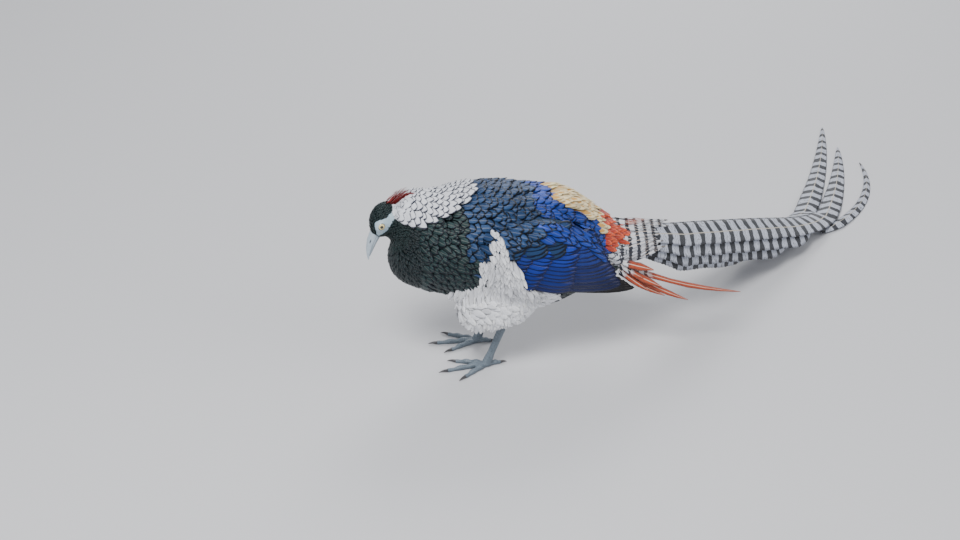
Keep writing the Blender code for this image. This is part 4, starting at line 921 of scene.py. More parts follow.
def cape_feathers(random):
    """Lay out the cape tier by tier from the lowest to the nape."""
    grids, normals, tints, rims = [], [], [], []
    for row, place in enumerate(CAPE_PLACES[::-1]):
        half = math.radians(float(cape_half_turn(place)))
        size = cape_point(place, 0.0, 0.0)[2]
        grown = min(1.0, 0.42 + 0.58 * (place + 0.30) / (CAPE_FULL + 0.30))
        count = max(2, int(round(2 * half * size / (CAPE_SPACING * grown))))
        for k in range(count):
            turn = half * (2 * (k + 0.25 + 0.5 * (row % 2)) / count - 1)
            turn += random.normal(0, 0.02)
            length = (CAPE_LENGTH + 1.4 * place) * grown * (1 + 0.07 * random.standard_normal())
            width = CAPE_WIDTH * grown * (1 + 0.07 * random.standard_normal())
            tip_place = place + random.normal(0, 0.04)
            lift = (CAPE_LIFT + random.normal(0, 0.35)) * (grown ** 1.3)
            if grown < 0.98 and abs(turn) < CREST_HALF_TURN:
                continue
            grid, ways = [], []
            for part, share in zip(CAPE_PARTS, rounded(CAPE_PARTS, root=0.55, start=0.5)):
                here = max(tip_place - (1 - part) * length / CAPE_PITCH, -0.66)
                lean = turn * (0.9 + 0.1 * part)
                reach = cape_point(here, lean, 0.0)[2]
                height = 0.4 + lift * part ** 0.85
                line = []
                for q in np.linspace(-1, 1, CAPE_COLUMNS):
                    spot, way, _ = cape_point(here, lean + q * width / 2 * share / reach,
                                              height - 0.7 * q * q * share)
                    line.append(spot)
                    if abs(q) < 1e-6:
                        ways.append(way)
                grid.append(line)
            grids.append(grid)
            normals.append(ways)
            shade = 1 + 0.05 * random.standard_normal()
            tints.append([*np.clip(np.array(CAPE_WHITE) * shade, 0, 1), 1.0])
            rims.append([*BARRED_RIM, 0.115 + 0.02 * random.standard_normal()])
    return (np.array(grids)[:, :, ::-1], np.array(normals),
            {"tint": np.array(tints), "rim": np.array(rims)})


grid, normals, colours = cape_feathers(random)
cape = vane_mesh("feathers_cape", grid, normals, 0.24, colours, patch_grid(len(grid), 22),
                 (0.04, 0.04), CAPE_PARTS, full=True)
cape.data.materials.append(feather_material("cape_vanes", rough=0.55, sheen=0.2, barbs=12.0,
                                            depth=0.12))
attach(cape, "root")
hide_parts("cape")


# The crest: narrow, pointed, hair-like feathers of deep red, rooted in the crown and the
# nape, that stream back over the first rows of the cape.
NAPE_CORE = np.array([-110.0, 0.0, 181.0])
CREST_COUNT, CREST_WIDTH, CREST_RED = 46, 2.1, (0.33, 0.012, 0.014)
CREST_PARTS = (0.0, 0.25, 0.5, 0.72, 0.88, 1.0)


def nape_point(lean, side, height):
    """Return a place off the crown and nape by its lean from upright about the nape's core."""
    way = np.array([math.sin(lean), 0.0, math.cos(lean)])
    start = NAPE_CORE + np.array([0.0, side, 0.0])
    return skin_below(start, way) + way * height, way


def crest_feathers(random):
    """Lay out the crest's feathers from the lowest to the highest."""
    grids, normals = [], []
    for k in range(CREST_COUNT):
        rank = k / (CREST_COUNT - 1)
        start = -8.0 - 40.0 * rank + random.normal(0, 2.0)
        reach = 46.0 - 6.0 * rank + random.normal(0, 4.0)
        side = random.uniform(-5.6, 5.6) * (1 - 0.25 * rank)
        high = 5.5 + 9.5 * rank * (1 - 0.35 * rank) + random.normal(0, 0.6)
        width = CREST_WIDTH * (1 + 0.15 * random.standard_normal())
        grid, ways = [], []
        for part in CREST_PARTS:
            lean = math.radians(start + reach * part)
            share = 0.6 + 0.4 * min(1.0, part / 0.4)
            share *= 1 - 0.9 * max(0.0, (part - 0.4) / 0.6) ** 1.4
            middle = side * (0.6 + 0.75 * part)
            line = []
            for q in (-1, 0, 1):
                spot, way = nape_point(lean, middle + q * share * width / 2,
                                       0.2 + high * part ** 0.8 - 0.3 * q * q * share)
                line.append(spot)
            grid.append(line)
            ways.append(way)
        grids.append(grid)
        normals.append(ways)
    return np.array(grids)[:, :, ::-1], np.array(normals)


grid, normals = crest_feathers(random)
reds = np.array(CREST_RED) * (1 + 0.22 * random.standard_normal((len(grid), 1)))
colours = {"tint": with_fourth(np.maximum(reds, 0.02), 1.0), "rim": with_fourth(reds * 0.5, 0.12)}
crest = vane_mesh("feathers_crest", grid, normals, 0.22, colours, patch_grid(len(grid), 8),
                  (0.08, 0.1), CREST_PARTS)
crest.data.materials.append(feather_material("crest_vanes", metal=0.15, rough=0.4, barbs=16.0))
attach(crest, "root")
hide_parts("crest")


# The tail: four pairs of long vanes hung like a roof from the ridge, which droops, swings to
# the right and meets the ground; there the long middle pair and one side feather run on.
TAIL_ROOT = np.array([137.0, 0.0, 138.0])
# The ridge: distance from the root, degrees swung to the right and degrees dipped
TAIL_COURSE = (
    (0, 8, 3), (25, 22, 10), (65, 37, 18), (200, 38, 19), (320, 41, 21), (380, 46, 17),
    (425, 56, 5), (460, 64, 0),
)
# Pairs from the middle outwards: length, and width from the ridge to the edge
TAIL_PAIRS = ((420, 28.5), (386, 40.0), (336, 48.5), (262, 53.0))
TAIL_TAPER, TAIL_ROOT_WIDTH = 75.0, 5.0
TAIL_FAN = math.radians(7.5)
tail_droop = smooth([(0, 52), (200, 47), (320, 36), (400, 18), (425, 13)])
# Tips on the ground: how far beside and along the ridge they start, heading and bend in
# degrees, length, width and how high the start lies
TAIL_TIPS = {
    "left": (13.8, 420.0, 60.0, 13.0, 227.0, 27.0, 2.6),
    "right": (-13.8, 420.0, 60.5, 11.0, 283.0, 27.0, 2.6),
    "side": (22.5, 384.0, 30.3, 56.0, 234.5, 16.0, 2.2),
}
TAIL_COLUMNS = 11
TAIL_STEP = 2.6
TAIL_FLOOR_GAP = 1.0
BAR_PITCH, LINE_PITCH, BARB_PITCH = 20.5, 3.3, 1.6


def tail_course():
    """Walk along the tail's ridge a millimetre at a time; return places and headings."""
    steps = np.arange(TAIL_COURSE[-1][0] + 1)
    turn, dip = (np.radians(v) for v in smooth(TAIL_COURSE)(steps))
    along = np.stack([np.cos(turn) * np.cos(dip), np.sin(turn) * np.cos(dip), -np.sin(dip)],
                     axis=-1)
    places = TAIL_ROOT + np.concatenate([[[0, 0, 0]], np.cumsum(along[:-1], axis=0)])
    return places, along


tail_places, tail_ways = tail_course()


def tail_point(s, out, droop, lift, side):
    """Return a place on the web that slopes down from the ridge to one side, and its normal."""
    i = min(int(s), len(tail_places) - 2)
    part = s - i
    place = tail_places[i] * (1 - part) + tail_places[i + 1] * part
    along = unit(tail_ways[i] * (1 - part) + tail_ways[i + 1] * part)
    left = unit(np.cross(along, [0.0, 0.0, 1.0]))
    up = unit(np.cross(left, along))
    sign = 1 if side < 0 else -1
    away = left * (math.cos(droop) * sign) - up * math.sin(droop)
    normal = left * (math.sin(droop) * sign) + up * math.cos(droop)
    return place + away * out + normal * lift, normal


def floor_rows(beside, start, heading, bend, length, width, base, root_share=1.0):
    """Return rows across a vane that lies on the ground, and their distances from the root."""
    i = int(start)
    along = tail_ways[i]
    left = unit(np.cross(along, [0.0, 0.0, 1.0]))
    place = (tail_places[i] + left * beside) * [1, 1, 0]
    turn = math.radians(heading)
    steps = int(length / TAIL_STEP)
    q = np.linspace(-1, 1, TAIL_COLUMNS)
    rows, reach = [], []
    for k in range(steps + 1):
        part = k / steps
        beside_way = np.array([math.sin(turn), -math.cos(turn), 0.0])
        half = width / 2 * min(1.0, max(1.001 - part, 0.0) ** 0.62 * 1.12)
        half *= min(1.0, root_share + (1 - root_share) * part * length / 30.0)
        half *= 1 + 0.02 * math.sin(part * length * 0.8) + 0.015 * math.sin(part * length * 2.1)
        level = base * max(0.0, 1 - part * 2.4) + TAIL_FLOOR_GAP
        ridge = 3.0 * (half * 2 / width)
        line = [place + beside_way * half * c + [0, 0, level + ridge * (1 - abs(c))] for c in q]
        rows.append(line)
        reach.append(start + length * part)
        place = place + np.array([math.cos(turn), math.sin(turn), 0.0]) * (length / steps)
        turn += math.radians(bend) / steps
    return np.array(rows), np.array(reach)


def tail_vanes():
    """Lay out all the tail feathers; return a list of rows with distances from the root."""
    vanes = []
    q = np.linspace(0, 1, TAIL_COLUMNS)
    for pair, (length, width) in reversed(list(enumerate(TAIL_PAIRS))):
        for side, end in SIDES:
            count = int(length / TAIL_STEP)
            rows, reach = [], []
            for i in range(count + 1):
                s = length * i / count
                droop = math.radians(float(tail_droop(s))) + TAIL_FAN * pair
                taper = max(0.0, (s - (length - TAIL_TAPER)) / TAIL_TAPER) if pair else 0.0
                spread = 0.36 + 0.64 * min(1.0, s / 85.0) ** 0.8
                wide = TAIL_ROOT_WIDTH + (width - TAIL_ROOT_WIDTH) * spread * (1 - taper ** 2.2)
                wide *= 1 + 0.012 * math.sin(s * 0.9 + pair) + 0.010 * math.sin(s * 2.3 + side)
                lift = 1.5 - 1.5 * pair / 3 + 1.0 * min(1.0, s / 40)
                if pair == 0:
                    lift *= max(0.0, 1 - max(0.0, s - 380) / 40.0)
                outs = 0.3 + (wide - 0.3) * q
                line = [tail_point(s, o, droop, lift - 0.9 * (2 * c - 1) ** 2, side)[0]
                        for o, c in zip(outs, q)]
                rows.append(line)
                reach.append(s)
            rows = np.array(rows)
            rows[..., 2] = np.maximum(rows[..., 2], TAIL_FLOOR_GAP)
            if pair == 0:
                more, extra = floor_rows(*TAIL_TIPS[end])
                more = more[:, ::-1] if side > 0 else more
                rows = np.concatenate([rows[:-1], more[1:]])
                reach = reach[:-1] + list(extra[1:])
            vanes.append((f"tail_pair_{pair}_{end}", rows, np.array(reach)))
    vanes.append(("tail_pair_side", *floor_rows(*TAIL_TIPS["side"], root_share=0.3)))
    return vanes


def waves(tree, value, rate):
    """Return the sine of a value at so many radians for each unit."""
    return maths(tree, "SINE", maths(tree, "MULTIPLY", value, rate))


def tail_material(name):
    """Make the silver-white vane with black bars and wavy lines between them."""
    material, tree, shader = new_material(name, Roughness=0.5, Sheen_Weight=0.15)
    across, along = vane_place(tree)
    along = maths(tree, "MULTIPLY", along, 100.0)
    ripple = clouds(tree, 70.0, 3.0)
    place = maths(tree, "MULTIPLY_ADD", across, 3.5, along)
    place = maths(tree, "MULTIPLY_ADD", ripple, 12.0, place)
    wave = waves(tree, place, 2 * math.pi / BAR_PITCH)
    bar = ramp(tree, wave, 0.10, 0.36)
    fine = maths(tree, "SINE", maths(tree, "MULTIPLY_ADD", ripple, 22.0,
                                     maths(tree, "MULTIPLY", place, 2 * math.pi / LINE_PITCH)))
    lines = maths(tree, "MULTIPLY", ramp(tree, fine, 0.55, 0.85), 0.55)
    lines = maths(tree, "MULTIPLY", lines, ramp(tree, wave, 0.2, -0.3))
    barb = waves(tree, maths(tree, "MULTIPLY_ADD", across, -9.0, along), 2 * math.pi / BARB_PITCH)
    colour = blend(tree, lines, (0.54, 0.57, 0.66), (0.030, 0.034, 0.048))
    colour = blend(tree, bar, colour, (0.008, 0.010, 0.018))
    shaft = ramp(tree, across, 0.02, 0.06, 1.0, 0.0)
    colour = blend(tree, shaft, colour, (0.55, 0.50, 0.42))
    dress(tree, shader, colour, barb, 0.4, 0.0003)
    return material


tail_look = tail_material("tail_vanes")
tail_nodes = {
    "tail_pair_0_left": ("tail_base", "tail_middle", "tail_bend", "tail_tip_left"),
    "tail_pair_0_right": ("tail_tip_right",),
    "tail_pair_side": ("tail_side_left",),
}
white = {"tint": np.array([[0.7, 0.73, 0.8, 1.0]]), "rim": np.array([[0.7, 0.7, 0.8, 0.1]])}
for name, rows, reach in tail_vanes():
    facing = np.cross(rows[:, -1] - rows[:, 0], np.gradient(rows[:, TAIL_COLUMNS // 2], axis=0))
    if facing[:, 2].mean() < 0:
        rows, facing = rows[:, ::-1], -facing
    facing[-1] = facing[-2]
    normal = unit(facing)
    vane = vane_mesh(name, rows[None], normal[None], 0.6, white, np.array([[0.5, 0.5]]),
                     (0.98, 0.98), reach / 100.0, full=True)
    vane.data.materials.append(tail_look)
    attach(vane, "root")
    if name in tail_nodes:
        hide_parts(*tail_nodes[name])


# The feathers that lie over the folded wings: scapulars and long tertials from above, and
# the loose white plumes of the flank that hang over the front of each wing from below.
# Each kind has its outline (x, z), then spacing, length, width, lean in degrees and lift.
COVERS = (
    ("mantle", ((-48, 128), (-46, 152), (-38, 172), (-18, 185), (10, 191), (38, 189), (34, 172),
                (10, 166), (-12, 159), (-24, 146), (-31, 130)), 5.6, 15.0, 11.5, 14.0, 2.4),
    ("tertial", ((14, 188), (38, 191), (54, 186), (72, 177), (86, 166), (95, 148), (98, 134),
                 (88, 142), (74, 156), (52, 164), (28, 168)), 6.2, 22.0, 10.5, 30.0, 2.6),
    ("flank", ((-21, 179), (-14, 179), (-10, 165), (-8, 154), (0, 148), (5, 136), (6, 120),
               (12, 112), (26, 107), (26, 96), (-20, 88), (-56, 98), (-60, 104), (-37, 116),
               (-27, 127), (-33, 146), (-31, 152), (-24, 155)), 2.9, 19.0, 6.6, 86.0, 3.9),
)
COVER_COLOURS = {"mantle": ((0.012, 0.045, 0.130), BLACK_BLUE, 0.24),
                 "tertial": ((0.012, 0.052, 0.35), BACK_RIM, 0.20),
                 "flank": (PLUME_WHITE, PLUME_RIM, 0.3)}
COVER_PARTS = (0.0, 0.25, 0.48, 0.68, 0.84, 0.95, 1.0)
FLANK_SAG, COVER_SMOOTHING = 0.9, 3
WING_RISE, DRAPE_VOXEL, DRAPE_SMOOTHING = 4.6, 0.003, 16


def tree_of(*objects):
    """Return a search tree over several pieces in the bird's frame."""
    points, triangles, start = [], [], 0
    for obj in objects:
        places, _, faces = mesh_arrays(obj)
        points.append(places)
        triangles.append(faces + start)
        start += len(places)
    return BVHTree.FromPolygons(np.concatenate(points).tolist(),
                                np.concatenate(triangles).tolist())


def draped_tree():
    """Return a search tree of body and folded wings under one smooth cover."""
    pick(skin)
    bpy.ops.object.duplicate()
    form = bpy.context.active_object
    shoulders = [wing_core(side, "shoulder", WING_RISE) for side, _ in SIDES]
    cover = fused([form, *shoulders], DRAPE_VOXEL, DRAPE_SMOOTHING)
    found = tree_of(cover)
    bpy.data.objects.remove(cover)
    return found


wings = [bpy.data.objects[name + end] for name in ("wing_fold_", "feathers_wing_")
         for _, end in SIDES]
outer_tree, drape = tree_of(skin, *wings), draped_tree()


def over_wing(x, turn, height):
    """Return a place over skin and wing at a turn round the trunk from the spine."""
    axis = np.array([x, 0.0, float(trunk_at(x)[0])])
    way = np.array([0.0, math.sin(turn), math.cos(turn)])
    reach = 200.0 - min(tree.ray_cast(axis + way * 200.0, -way)[3] for tree in (outer_tree, drape))
    return axis + way * (reach + height), way, reach


def inside(x, z, outline):
    """Tell whether a place lies within an outline."""
    found = False
    for (x0, z0), (x1, z1) in zip(outline, outline[1:] + outline[:1]):
        if (z0 > z) != (z1 > z) and x < x0 + (x1 - x0) * (z - z0) / (z1 - z0):
            found = not found
    return found


def faced(grid, ways, row, step=1):
    """Return a vane's grid, its columns turned round where it would face the skin."""
    middle = grid.shape[1] // 2
    facing = np.cross(grid[row, -1] - grid[row, 0],
                      grid[row + step, middle] - grid[row - step, middle])
    return grid if facing @ ways[row] > 0 else grid[:, ::-1]


def cover_feathers(kind, outline, spacing, length, width, lean, lift, side, random):
    """Lay feathers of one kind over one wing, row behind row."""
    grids, normals, roots = [], [], []
    xs, zs = [p[0] for p in outline], [p[1] for p in outline]
    row = 0
    z = max(zs)
    while z > min(zs):
        x = min(xs) + (spacing / 2 if row % 2 else 0.0)
        while x < max(xs):
            px, pz = x + random.normal(0, 0.9), z + random.normal(0, 0.9)
            x += spacing
            if not inside(px, pz, outline):
                continue
            hit = outer_tree.ray_cast(Vector((px, side * 150.0, pz)), Vector((0.0, -side, 0.0)))[0]
            if hit is None:
                continue
            turn = math.atan2(hit[1], hit[2] - float(trunk_at(px)[0]))
            slope = math.radians(lean + random.normal(0, 5.0))
            if kind == "flank":
                slope += math.radians(max(-22.0, min(26.0, -(px + 20) * 0.6)))
            long = length * (1 + 0.12 * random.standard_normal())
            if kind == "flank":
                long *= min(1.0, 0.62 + max(0.0, 165.0 - pz) / 70.0)
            wide = width * (1 + 0.10 * random.standard_normal())
            rise = lift * (1 + 0.15 * random.standard_normal())
            reach = over_wing(px, turn, 0.0)[2]
            grid, ways = [], []
            shares = rounded(COVER_PARTS, root=0.45, full=0.4, start=0.55)
            ahead = np.array([math.cos(slope), side * math.sin(slope)])
            beside = np.array([-side * ahead[1], side * ahead[0]]) * side
            for part, share in zip(COVER_PARTS, shares):
                line = []
                for q in (-1.0, -0.5, 0.0, 0.5, 1.0):
                    flat = ahead * long * part + beside * q * wide / 2 * share
                    spot, way, _ = over_wing(px + flat[0], turn + flat[1] / reach,
                                             0.25 + rise * part ** 0.9 - 0.7 * q * q * share)
                    line.append(spot)
                    if q == 0.0:
                        ways.append(way)
                grid.append(line)
            grid, ways = np.array(grid), np.array(ways)
            if kind == "flank":
                off = np.abs(grid[..., 1])
                held = np.maximum.accumulate(off, axis=0)
                held = held - FLANK_SAG * np.arange(len(off))[:, None]
                grid[..., 1] = side * np.maximum(off, held)
            for _ in range(COVER_SMOOTHING):
                grid[1:-1] = (grid[:-2] + 2 * grid[1:-1] + grid[2:]) / 4
            grids.append(faced(grid, ways, 2))
            normals.append(ways)
            roots.append(grid[0, 2])
        z -= spacing * 0.86
        row += 1
    return grids, normals, roots


for kind, outline, spacing, length, width, lean, lift in COVERS:
    grids, normals, roots = [], [], []
    for side, _ in SIDES:
        more = cover_feathers(kind, outline, spacing, length, width, lean, lift, side, random)
        for store, found in zip((grids, normals, roots), more):
            store.extend(found)
    roots = np.array(roots)
    tint, rim, rim_width = COVER_COLOURS[kind]
    shade = 1 + 0.10 * random.standard_normal((len(roots), 1)) + 0.1 * noise(roots, 22.0)[:, None]
    colours = {"tint": with_fourth(np.array(tint) * shade, 1.0),
               "rim": with_fourth(np.array(rim) * shade, rim_width)}
    thick = 0.16 if kind == "flank" else 0.22
    cover = vane_mesh("covers_" + kind, np.array(grids), np.array(normals), thick, colours,
                      unwrap_at(roots), BAKE_PATCH, COVER_PARTS)
    cover.data.materials.append(coat_materials["white" if kind == "flank" else "dark"])
    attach(cover, "root")


# The tail coverts: barred and red-tipped feathers over the root of the tail, and the long
# narrow orange-red ones with pale shafts that trail past the wing tips on both sides.
COVERT_PARTS = (0.0, 0.12, 0.25, 0.4, 0.55, 0.7, 0.84, 0.94, 1.0)
COVERT_BARBS, SHORT_COVERTS = 34.0, 190
# Long coverts of the left side: root and tip, sag and width
LONG_LEFT = (
    ((130.0, -27.5, 111.0), (163.0, -35.0, 102.0), 0.0, 9.0),
    ((132.0, -28.0, 105.0), (172.0, -38.0, 82.0), 1.5, 9.0),
    ((133.0, -26.5, 101.0), (202.0, -39.0, 63.0), 3.0, 7.5),
    ((131.0, -25.0, 106.0), (262.0, -38.0, 66.0), 6.0, 7.0),
    ((128.0, -26.0, 108.0), (152.0, -33.5, 92.0), 0.5, 8.5),
    ((126.0, -27.5, 103.0), (158.0, -36.5, 78.0), 1.0, 8.0),
    ((127.0, -24.5, 98.0), (176.0, -36.5, 70.0), 2.0, 7.0),
)
# Long coverts of the right side: how far off the ridge, lift, length and width
LONG_RIGHT = (
    (14.0, 6.5, 62.0, 9.0), (22.0, 5.0, 88.0, 8.5), (31.0, 5.5, 118.0, 8.0),
    (39.0, 4.0, 78.0, 8.0), (18.0, 7.0, 48.0, 8.5), (27.0, 6.0, 54.0, 8.0),
)


def covert_grid(middle, across, normal, width, random):
    """Make one long, slightly curled covert along a row of places."""
    q = np.linspace(-1, 1, 5)
    parts = np.array(COVERT_PARTS)
    share = 0.7 + 0.3 * np.minimum(1, parts / 0.3)
    share = share * (1 - 0.92 * np.maximum(0, (parts - 0.45) / 0.55) ** 1.6)
    half = width / 2 * share * (1 + 0.06 * random.standard_normal(len(parts)))
    cup = 0.10 * width * share
    grid = (middle[:, None] + across[:, None] * (half[:, None] * q[None])[..., None]
            - normal[:, None] * (cup[:, None] * q[None] ** 2)[..., None])
    return faced(grid, normal, 3)


def long_coverts(random):
    """Lay out the long coverts of both sides."""
    grids, normals = [], []
    parts = np.array(COVERT_PARTS)
    for root, tip, sag, width in LONG_LEFT:
        root, tip = np.array(root), np.array(tip)
        run = unit(tip - root)
        upward = unit(np.cross(run, [0.1, -0.8, 0.6]))
        normal = unit(np.cross(upward, run))
        drop = np.array([0.0, 0.0, 1.0]) * (sag * np.sin(math.pi * parts))[:, None]
        middle = root + (tip - root) * parts[:, None] - drop
        across, ways = (np.tile(way, (len(parts), 1)) for way in (upward, normal))
        grids.append(covert_grid(middle, across, ways, width, random))
        normals.append(ways)
    for out, lift, length, width in LONG_RIGHT:
        middle, across, ways = [], [], []
        for part in parts:
            s, droop = 3.0 + length * part, math.radians(52.0)
            here = out * (0.7 + 0.3 * min(1.0, part * 2.5))
            height = lift * min(1.0, 0.4 + part * 1.25)
            place, normal = tail_point(s, here, droop, height, 1)
            middle.append(place)
            across.append(unit(place - tail_point(s, here + 1.0, droop, height, 1)[0]))
            ways.append(normal)
        middle, across, ways = np.array(middle), np.array(across), np.array(ways)
        grids.append(covert_grid(middle, across, ways, width, random))
        normals.append(ways)
    return np.array(grids), np.array(normals)


def covert_material(name, red_from, red_to, pitch, red_low=-1.0):
    """Make the covert's vane: white barred with black, then orange-red with a pale shaft.

    The bars lie at one pitch along the bird, so that they run on from feather to feather, and
    the red keeps to the feathers above a level.
    """
    material, tree, shader = new_material(name, Roughness=0.48, Sheen_Weight=0.2)
    across, along = vane_place(tree)
    grain = clouds(tree, 260.0, 3.0)
    place = maths(tree, "MULTIPLY_ADD", across, 0.05, along)
    place = maths(tree, "MULTIPLY_ADD", grain, 0.06, place)
    spot = node(tree, "ShaderNodeSeparateXYZ",
                Vector=node(tree, "ShaderNodeTexCoord").outputs["Object"])
    down_body = maths(tree, "MULTIPLY_ADD", across, -0.0018, spot.outputs[0])
    down_body = maths(tree, "MULTIPLY_ADD", grain, 0.0045, down_body)
    wave = waves(tree, down_body, 2 * math.pi / pitch)
    bars = blend(tree, ramp(tree, wave, 0.15, 0.45), BARRED_WHITE, (0.010, 0.014, 0.03))
    reds = blend(tree, grain, (0.27, 0.022, 0.008), (0.54, 0.085, 0.014))
    red = maths(tree, "MULTIPLY", ramp(tree, place, red_from, red_to),
                ramp(tree, spot.outputs[2], red_low, red_low + 0.006))
    colour = blend(tree, red, bars, reds)
    shaft = ramp(tree, across, 0.06, 0.16, 0.8, 0.0)
    colour = blend(tree, shaft, colour, (0.80, 0.66, 0.55))
    barb = waves(tree, maths(tree, "MULTIPLY_ADD", across, -0.12, along),
                 2 * math.pi * COVERT_BARBS)
    dress(tree, shader, colour, barb, 0.5, 0.0003)
    return material


grid, normals = long_coverts(random)
patches = np.array([((k + 0.5) / len(grid), 0.5) for k in range(len(grid))])
plain_colours = {"tint": np.array([[0.7, 0.2, 0.05, 1.0]])}
coverts = vane_mesh("coverts_long", grid, normals, 0.4, plain_colours, patches,
                    (0.9 / len(grid), 0.96), COVERT_PARTS, full=True)
coverts.data.materials.append(covert_material("covert_vanes", 0.20, 0.34, 0.0095))
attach(coverts, "root")
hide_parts("coverts_left", "coverts_right")

tail_pieces = [o for o in bpy.data.objects if o.name.startswith("tail_pair_")]
root_tree = tree_of(skin, *tail_pieces)


def root_coverts(random):
    """Lay the shorter coverts over the root of the tail, from rump to vane."""
    grids, normals = [], []
    parts = np.array(COVERT_PARTS)[:, None]
    for k in range(SHORT_COVERTS):
        rank = k / (SHORT_COVERTS - 1)
        side = 1 if k % 2 else -1
        turn = random.uniform(0.02, 1.0)
        over_ridge = k % 6 < 2
        turn *= 0.1 if over_ridge else 1.0
        start = np.array([134.0 - (20.0 + 14.0 * turn) * rank, 0.0, 119.0])
        way = np.array([0.0, side * math.sin(turn * 2.3), math.cos(turn * 2.3)])
        first = skin_below(start, way, 90.0) - way * 0.5
        s = (62.0 - 44.0 * rank if over_ridge else 42.0 - 26.0 * rank) + random.normal(0, 4.0)
        reach = 3.0 + 36.0 * turn * min(1.0, 0.45 + s / 110)
        if over_ridge:
            reach = random.uniform(-5.0, 4.0)
        last, up = tail_point(s, reach, math.radians(50.0), 3.2 + 2.4 * rank, side)
        middle = (first + last) / 2
        near = root_tree.find_nearest(middle.tolist())
        out = way * 0.5 + up * 0.5
        middle = middle + out * max(0.0, 3.0 + (np.array(near[0]) - middle) @ out)
        line = bowed(first, middle, last, parts)
        ways, across = square_to(line, unit(way * (1 - parts) + up * parts))
        grids.append(covert_grid(line, across, ways, 8.6 - 1.5 * turn, random))
        normals.append(ways)
    return np.array(grids), np.array(normals)


grid, normals = root_coverts(random)
short = vane_mesh("coverts_short", grid, normals, 0.3, plain_colours, patch_grid(len(grid), 12),
                  (0.07, 0.075), COVERT_PARTS)
short.data.materials.append(covert_material("root_covert_vanes", 0.62, 0.85, 0.0105, 0.140))
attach(short, "root")


# The bare face: a strip of granular bluish-white skin from the gape round the eye and back
# to the cape, a shallow pad on each side of the skull.
EYE_RADIUS, EYE_PLACE, EYE_BULGE = 5.0, (5.0, 3.5), 1.5
FACE_ROWS, FACE_COLUMNS = 110, 57


def side_of_head(along, up, side):
    """Return a place on the side of the skull and the way out there."""
    start = head_point(along, up, side * 60.0)
    hit, out, _, _ = skin_tree.ray_cast(Vector(start), Vector((0.0, -side, 0.0)))
    return np.array(hit), np.array(out)


def face_pad(side):
    """Lay out the pad of bare skin on one side of the head."""
    grid, ways = [], []
    for along in np.linspace(*FACE_SPAN, FACE_ROWS):
        line = []
        middle, half = float(FACE_MIDDLE(along)), float(FACE_HALF(along)) + 0.8
        for q in np.linspace(-1, 1, FACE_COLUMNS):
            up = middle + half * q
            spot, out = side_of_head(along, up, side)
            grain = (math.sin(along * 5.2 + 1.3 * math.sin(up * 2.1))
                     * math.sin(up * 5.6 + 1.1 * math.sin(along * 1.7)))
            edge = max(0.0, 1 - abs(q) ** 4) * min(1.0, (along - FACE_SPAN[0]) / 3.0)
            edge *= min(1.0, (FACE_SPAN[1] - along) / 4.0)
            from_eye = math.hypot(along - EYE_PLACE[0], up - EYE_PLACE[1])
            swell = 0.9 * math.exp(-((from_eye - 5.5) / 2.6) ** 2)
            line.append(spot + out * (-0.3 + 0.95 * edge ** 0.5 + (0.22 * grain + swell) * edge))
            if abs(q) < 1e-6:
                ways.append(out)
        grid.append(line)
    grid, ways = np.array(grid), np.array(ways)
    return faced(grid, ways, 50, 10), ways


face_material, tree, shader = new_material("bare_face", Roughness=0.52, Subsurface_Weight=0.08)
grains = texture(tree, "Voronoi", Scale=1500.0).outputs["Distance"]
colour = blend(tree, clouds(tree, 240.0, 3.0), (0.34, 0.50, 0.58), (0.68, 0.76, 0.80))
colour = blend(tree, ramp(tree, grains, 0.2, 0.7, 0.0, 0.45), colour, (0.24, 0.36, 0.45))
dress(tree, shader, colour, grains, 0.7, 0.0003, invert=True)
for side, end in SIDES:
    grid, ways = face_pad(side)
    pad = vane_mesh("face_" + end, grid[None], ways[None], 0.9, {}, np.array([[0.5, 0.5]]),
                    (0.96, 0.96), full=True)
    pad.data.materials.append(face_material)
    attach(pad, "root")


# The eyes: pale yellow iris round a black pupil under a clear, slightly bulging cornea,
# with a swollen rim of lid over each.
eye_material, tree, shader = new_material("eye", Roughness=0.04, Coat_Weight=1.0)
gaze = node(tree, "ShaderNodeUVMap", {"uv_map": "gaze"}).outputs[0]
centred = node(tree, "ShaderNodeVectorMath", {"operation": "SUBTRACT"},
               _0=gaze, _1=(0.5, 0.5, 0.0))
reach = node(tree, "ShaderNodeVectorMath", {"operation": "LENGTH"},
             _0=centred.outputs[0]).outputs["Value"]
rays = node(tree, "ShaderNodeTexNoise", Scale=26.0, Detail=4.0, Vector=gaze).outputs[0]
iris = blend(tree, rays, (0.72, 0.55, 0.16), (0.95, 0.86, 0.50))
iris = blend(tree, ramp(tree, reach, 0.30, 0.37), iris, (0.10, 0.07, 0.04))
iris = blend(tree, ramp(tree, reach, 0.165, 0.185), (0.002, 0.002, 0.002), iris)
tree.links.new(iris, shader.inputs["Base Color"])
LID_RADIUS, LID_THICK, LID_RISE, LID_SKIRT, LID_DROP = 4.1, 0.8, 2.75, 2.6, 2.7
EYE_GAP = 0.05
lid_material, tree, shader = new_material("eyelid", Roughness=0.5)
grain = clouds(tree, 1600.0, 3.0)
colour = blend(tree, grain, (0.28, 0.40, 0.48), (0.58, 0.68, 0.74))
colour = blend(tree, ramp(tree, stored(tree, "margin"), 0.3, 0.8), colour, (0.03, 0.04, 0.05))
dress(tree, shader, colour, grain, 0.5, 0.0002)


def paint_share(obj, name, shares):
    """Store one share for each corner of the mesh, as a grey."""
    paint(obj, name, np.stack([shares, shares, shares, np.ones_like(shares)], axis=-1))


